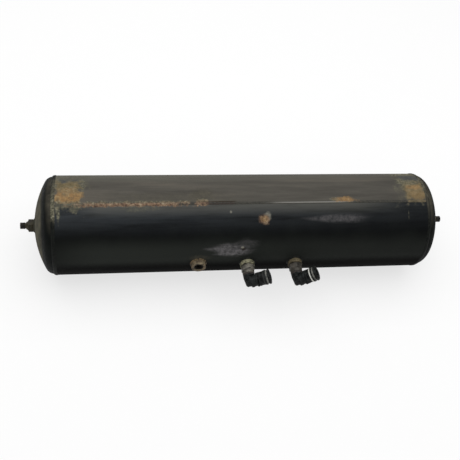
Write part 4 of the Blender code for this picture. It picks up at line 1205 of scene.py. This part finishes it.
for side, end in ENDS.items():
    seat = far_end(f"test_point_{side}_spring_retainer")
    low = seat - HALF_MM + 0.3
    high = far_end(f"test_point_{side}_valve_spring") - HALF_MM
    shape = bmesh.new()
    start = Matrix.Translation((mm(COIL), 0, mm(low + WIRE))) @ OUTWARDS
    bmesh.ops.create_circle(shape, segments=12, radius=mm(WIRE), matrix=start)
    profile = shape.verts[:] + shape.edges[:]
    tight = 2.1 * WIRE
    for turns, rise in ((1, tight), (3, high - low - 2 * WIRE - 2 * tight), (1, tight)):
        wound = bmesh.ops.spin(shape, geom=profile, cent=(0, 0, 0), axis=(0, 0, 1), angle=math.tau * turns,
                               dvec=(0, 0, mm(rise / (STEPS * turns))), steps=STEPS * turns, use_merge=False)
        profile = wound["geom_last"]
    bmesh.ops.edgeloop_fill(shape, edges=[edge for edge in shape.edges if edge.is_boundary])
    bmesh.ops.recalc_face_normals(shape, faces=shape.faces)
    piece = put(f"valve_spring_{side}", shape, end, "tank", [f"test_point_{side}_valve_spring"],
                SPRING)
    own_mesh(piece)

# %% [markdown]
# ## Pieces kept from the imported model
# The seals, clips, small rings and valve pins sit inside the fittings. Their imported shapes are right, so
# they stay and only get their real finish.

# %% Inner pieces
KEPT = {
    "stud_seal": RUBBER, "swivel_seal": RUBBER, "tube_seal": RUBBER, "seal": RUBBER, "valve_seal": RUBBER,
    "swivel_clip": SPRING, "grab_ring": SPRING, "spring_retainer": SPRING, "backup_ring": NYLON,
    "valve_pin": SLEEVE,
}
kept = []
for name, piece in frame["nodes"].items():
    kind = next((kind for kind in KEPT if name.endswith("_" + kind)), None)
    if kind:
        piece.data.materials.clear()
        piece.data.materials.append(KEPT[kind])
        kept.append(name)
print("pieces kept as packed:", len(kept))

# %% [markdown]
# ## Floor
# The tank lies on a white floor. Part of the floor's whiteness is its own glow, which only sight lines,
# mirrored lines and lines through glass meet. It whitens the floor, keeps a light shadow and lights
# nothing.

# %% Floor
GLOW = 0.7  # Share of the floor's white that is its own glow.


def make_floor():
    shape = bmesh.new()
    bmesh.ops.create_grid(shape, x_segments=1, y_segments=1, size=8)
    mesh = bpy.data.meshes.new("floor")
    bmesh.ops.translate(shape, vec=(0, 0, cad_box[0][2] - 0.0005), verts=shape.verts)
    shape.to_mesh(mesh)
    shape.free()
    floor = bpy.data.objects.new("floor", mesh)
    bpy.context.scene.collection.objects.link(floor)
    finish, tree, shader = new_finish("matt_white_paper", specular=0.0)
    spot = node(tree, "ShaderNodeTexCoord", {}, out="Object")
    fibres = wear(tree, spot, 40)
    tone = node(tree, "ShaderNodeValToRGB", {0: fibres}, stops=((0.0, "#fafafa"), (1.0, "#fdfdfd")))
    tree.links.new(tone, shader.inputs["Base Color"])
    shader.inputs["Roughness"].default_value = 1.0
    ray = tree.nodes.new("ShaderNodeLightPath")
    seen = node(tree, "ShaderNodeMath", {0: ray.outputs["Is Camera Ray"], 1: ray.outputs["Is Glossy Ray"]},
                operation="ADD")
    seen = node(tree, "ShaderNodeMath", {0: seen, 1: ray.outputs["Is Transmission Ray"]}, operation="ADD",
                use_clamp=True)
    glow = node(tree, "ShaderNodeEmission", {"Color": (1, 1, 1, 1), "Strength": 1.0})
    mixed = node(tree, "ShaderNodeMixShader", {0: both(tree, seen, GLOW), 1: shader.outputs[0], 2: glow})
    tree.links.new(mixed, tree.nodes["Material Output"].inputs["Surface"])
    mesh.materials.append(finish)


make_floor()
print("floor laid")

# %% [markdown]
# ## Lamp and surround
# A dull black surface shows little but what it mirrors. One wide, soft lamp hangs overhead in an even
# white surround, so light from all sides keeps the black deep and without hard highlights.

# %% Lamp and surround
def make_light():
    world = bpy.data.worlds.new("even_surround")
    world.use_nodes = True
    world.node_tree.nodes["Background"].inputs["Color"].default_value = (1, 1, 1, 1)
    world.node_tree.nodes["Background"].inputs["Strength"].default_value = 0.42
    bpy.context.scene.world = world
    lamp = bpy.data.lights.new("wide_overhead_lamp", "AREA")
    lamp.shape = "RECTANGLE"
    lamp.size, lamp.size_y = 4.4, 3.2
    lamp.energy = 76
    made = bpy.data.objects.new("wide_overhead_lamp", lamp)
    bpy.context.scene.collection.objects.link(made)
    made.location = (0, 0.3, 2.6)
    made.rotation_euler = (Vector((0, 0, 0)) - made.location).to_track_quat("-Z", "Y").to_euler()


make_light()
print("lamp hung")

# %% [markdown]
# ## Camera
# The camera stands in front and above, left of the middle, so the left end is the nearer one. It is
# rolled a little, which keeps the tank almost level in its view.

# %% Camera
def make_camera():
    data = bpy.data.cameras.new("camera")
    data.sensor_width, data.lens = 36.0, 58.135
    camera = bpy.data.objects.new("camera", data)
    bpy.context.scene.collection.objects.link(camera)
    camera.location = (-0.35797, -1.09597, 1.53649)
    camera.rotation_euler = [math.radians(turn) for turn in (35.4267, -7.5445, -6.5914)]
    bpy.context.scene.camera = camera


make_camera()
bpy.context.scene.view_settings.view_transform = "Standard"
print("camera set")
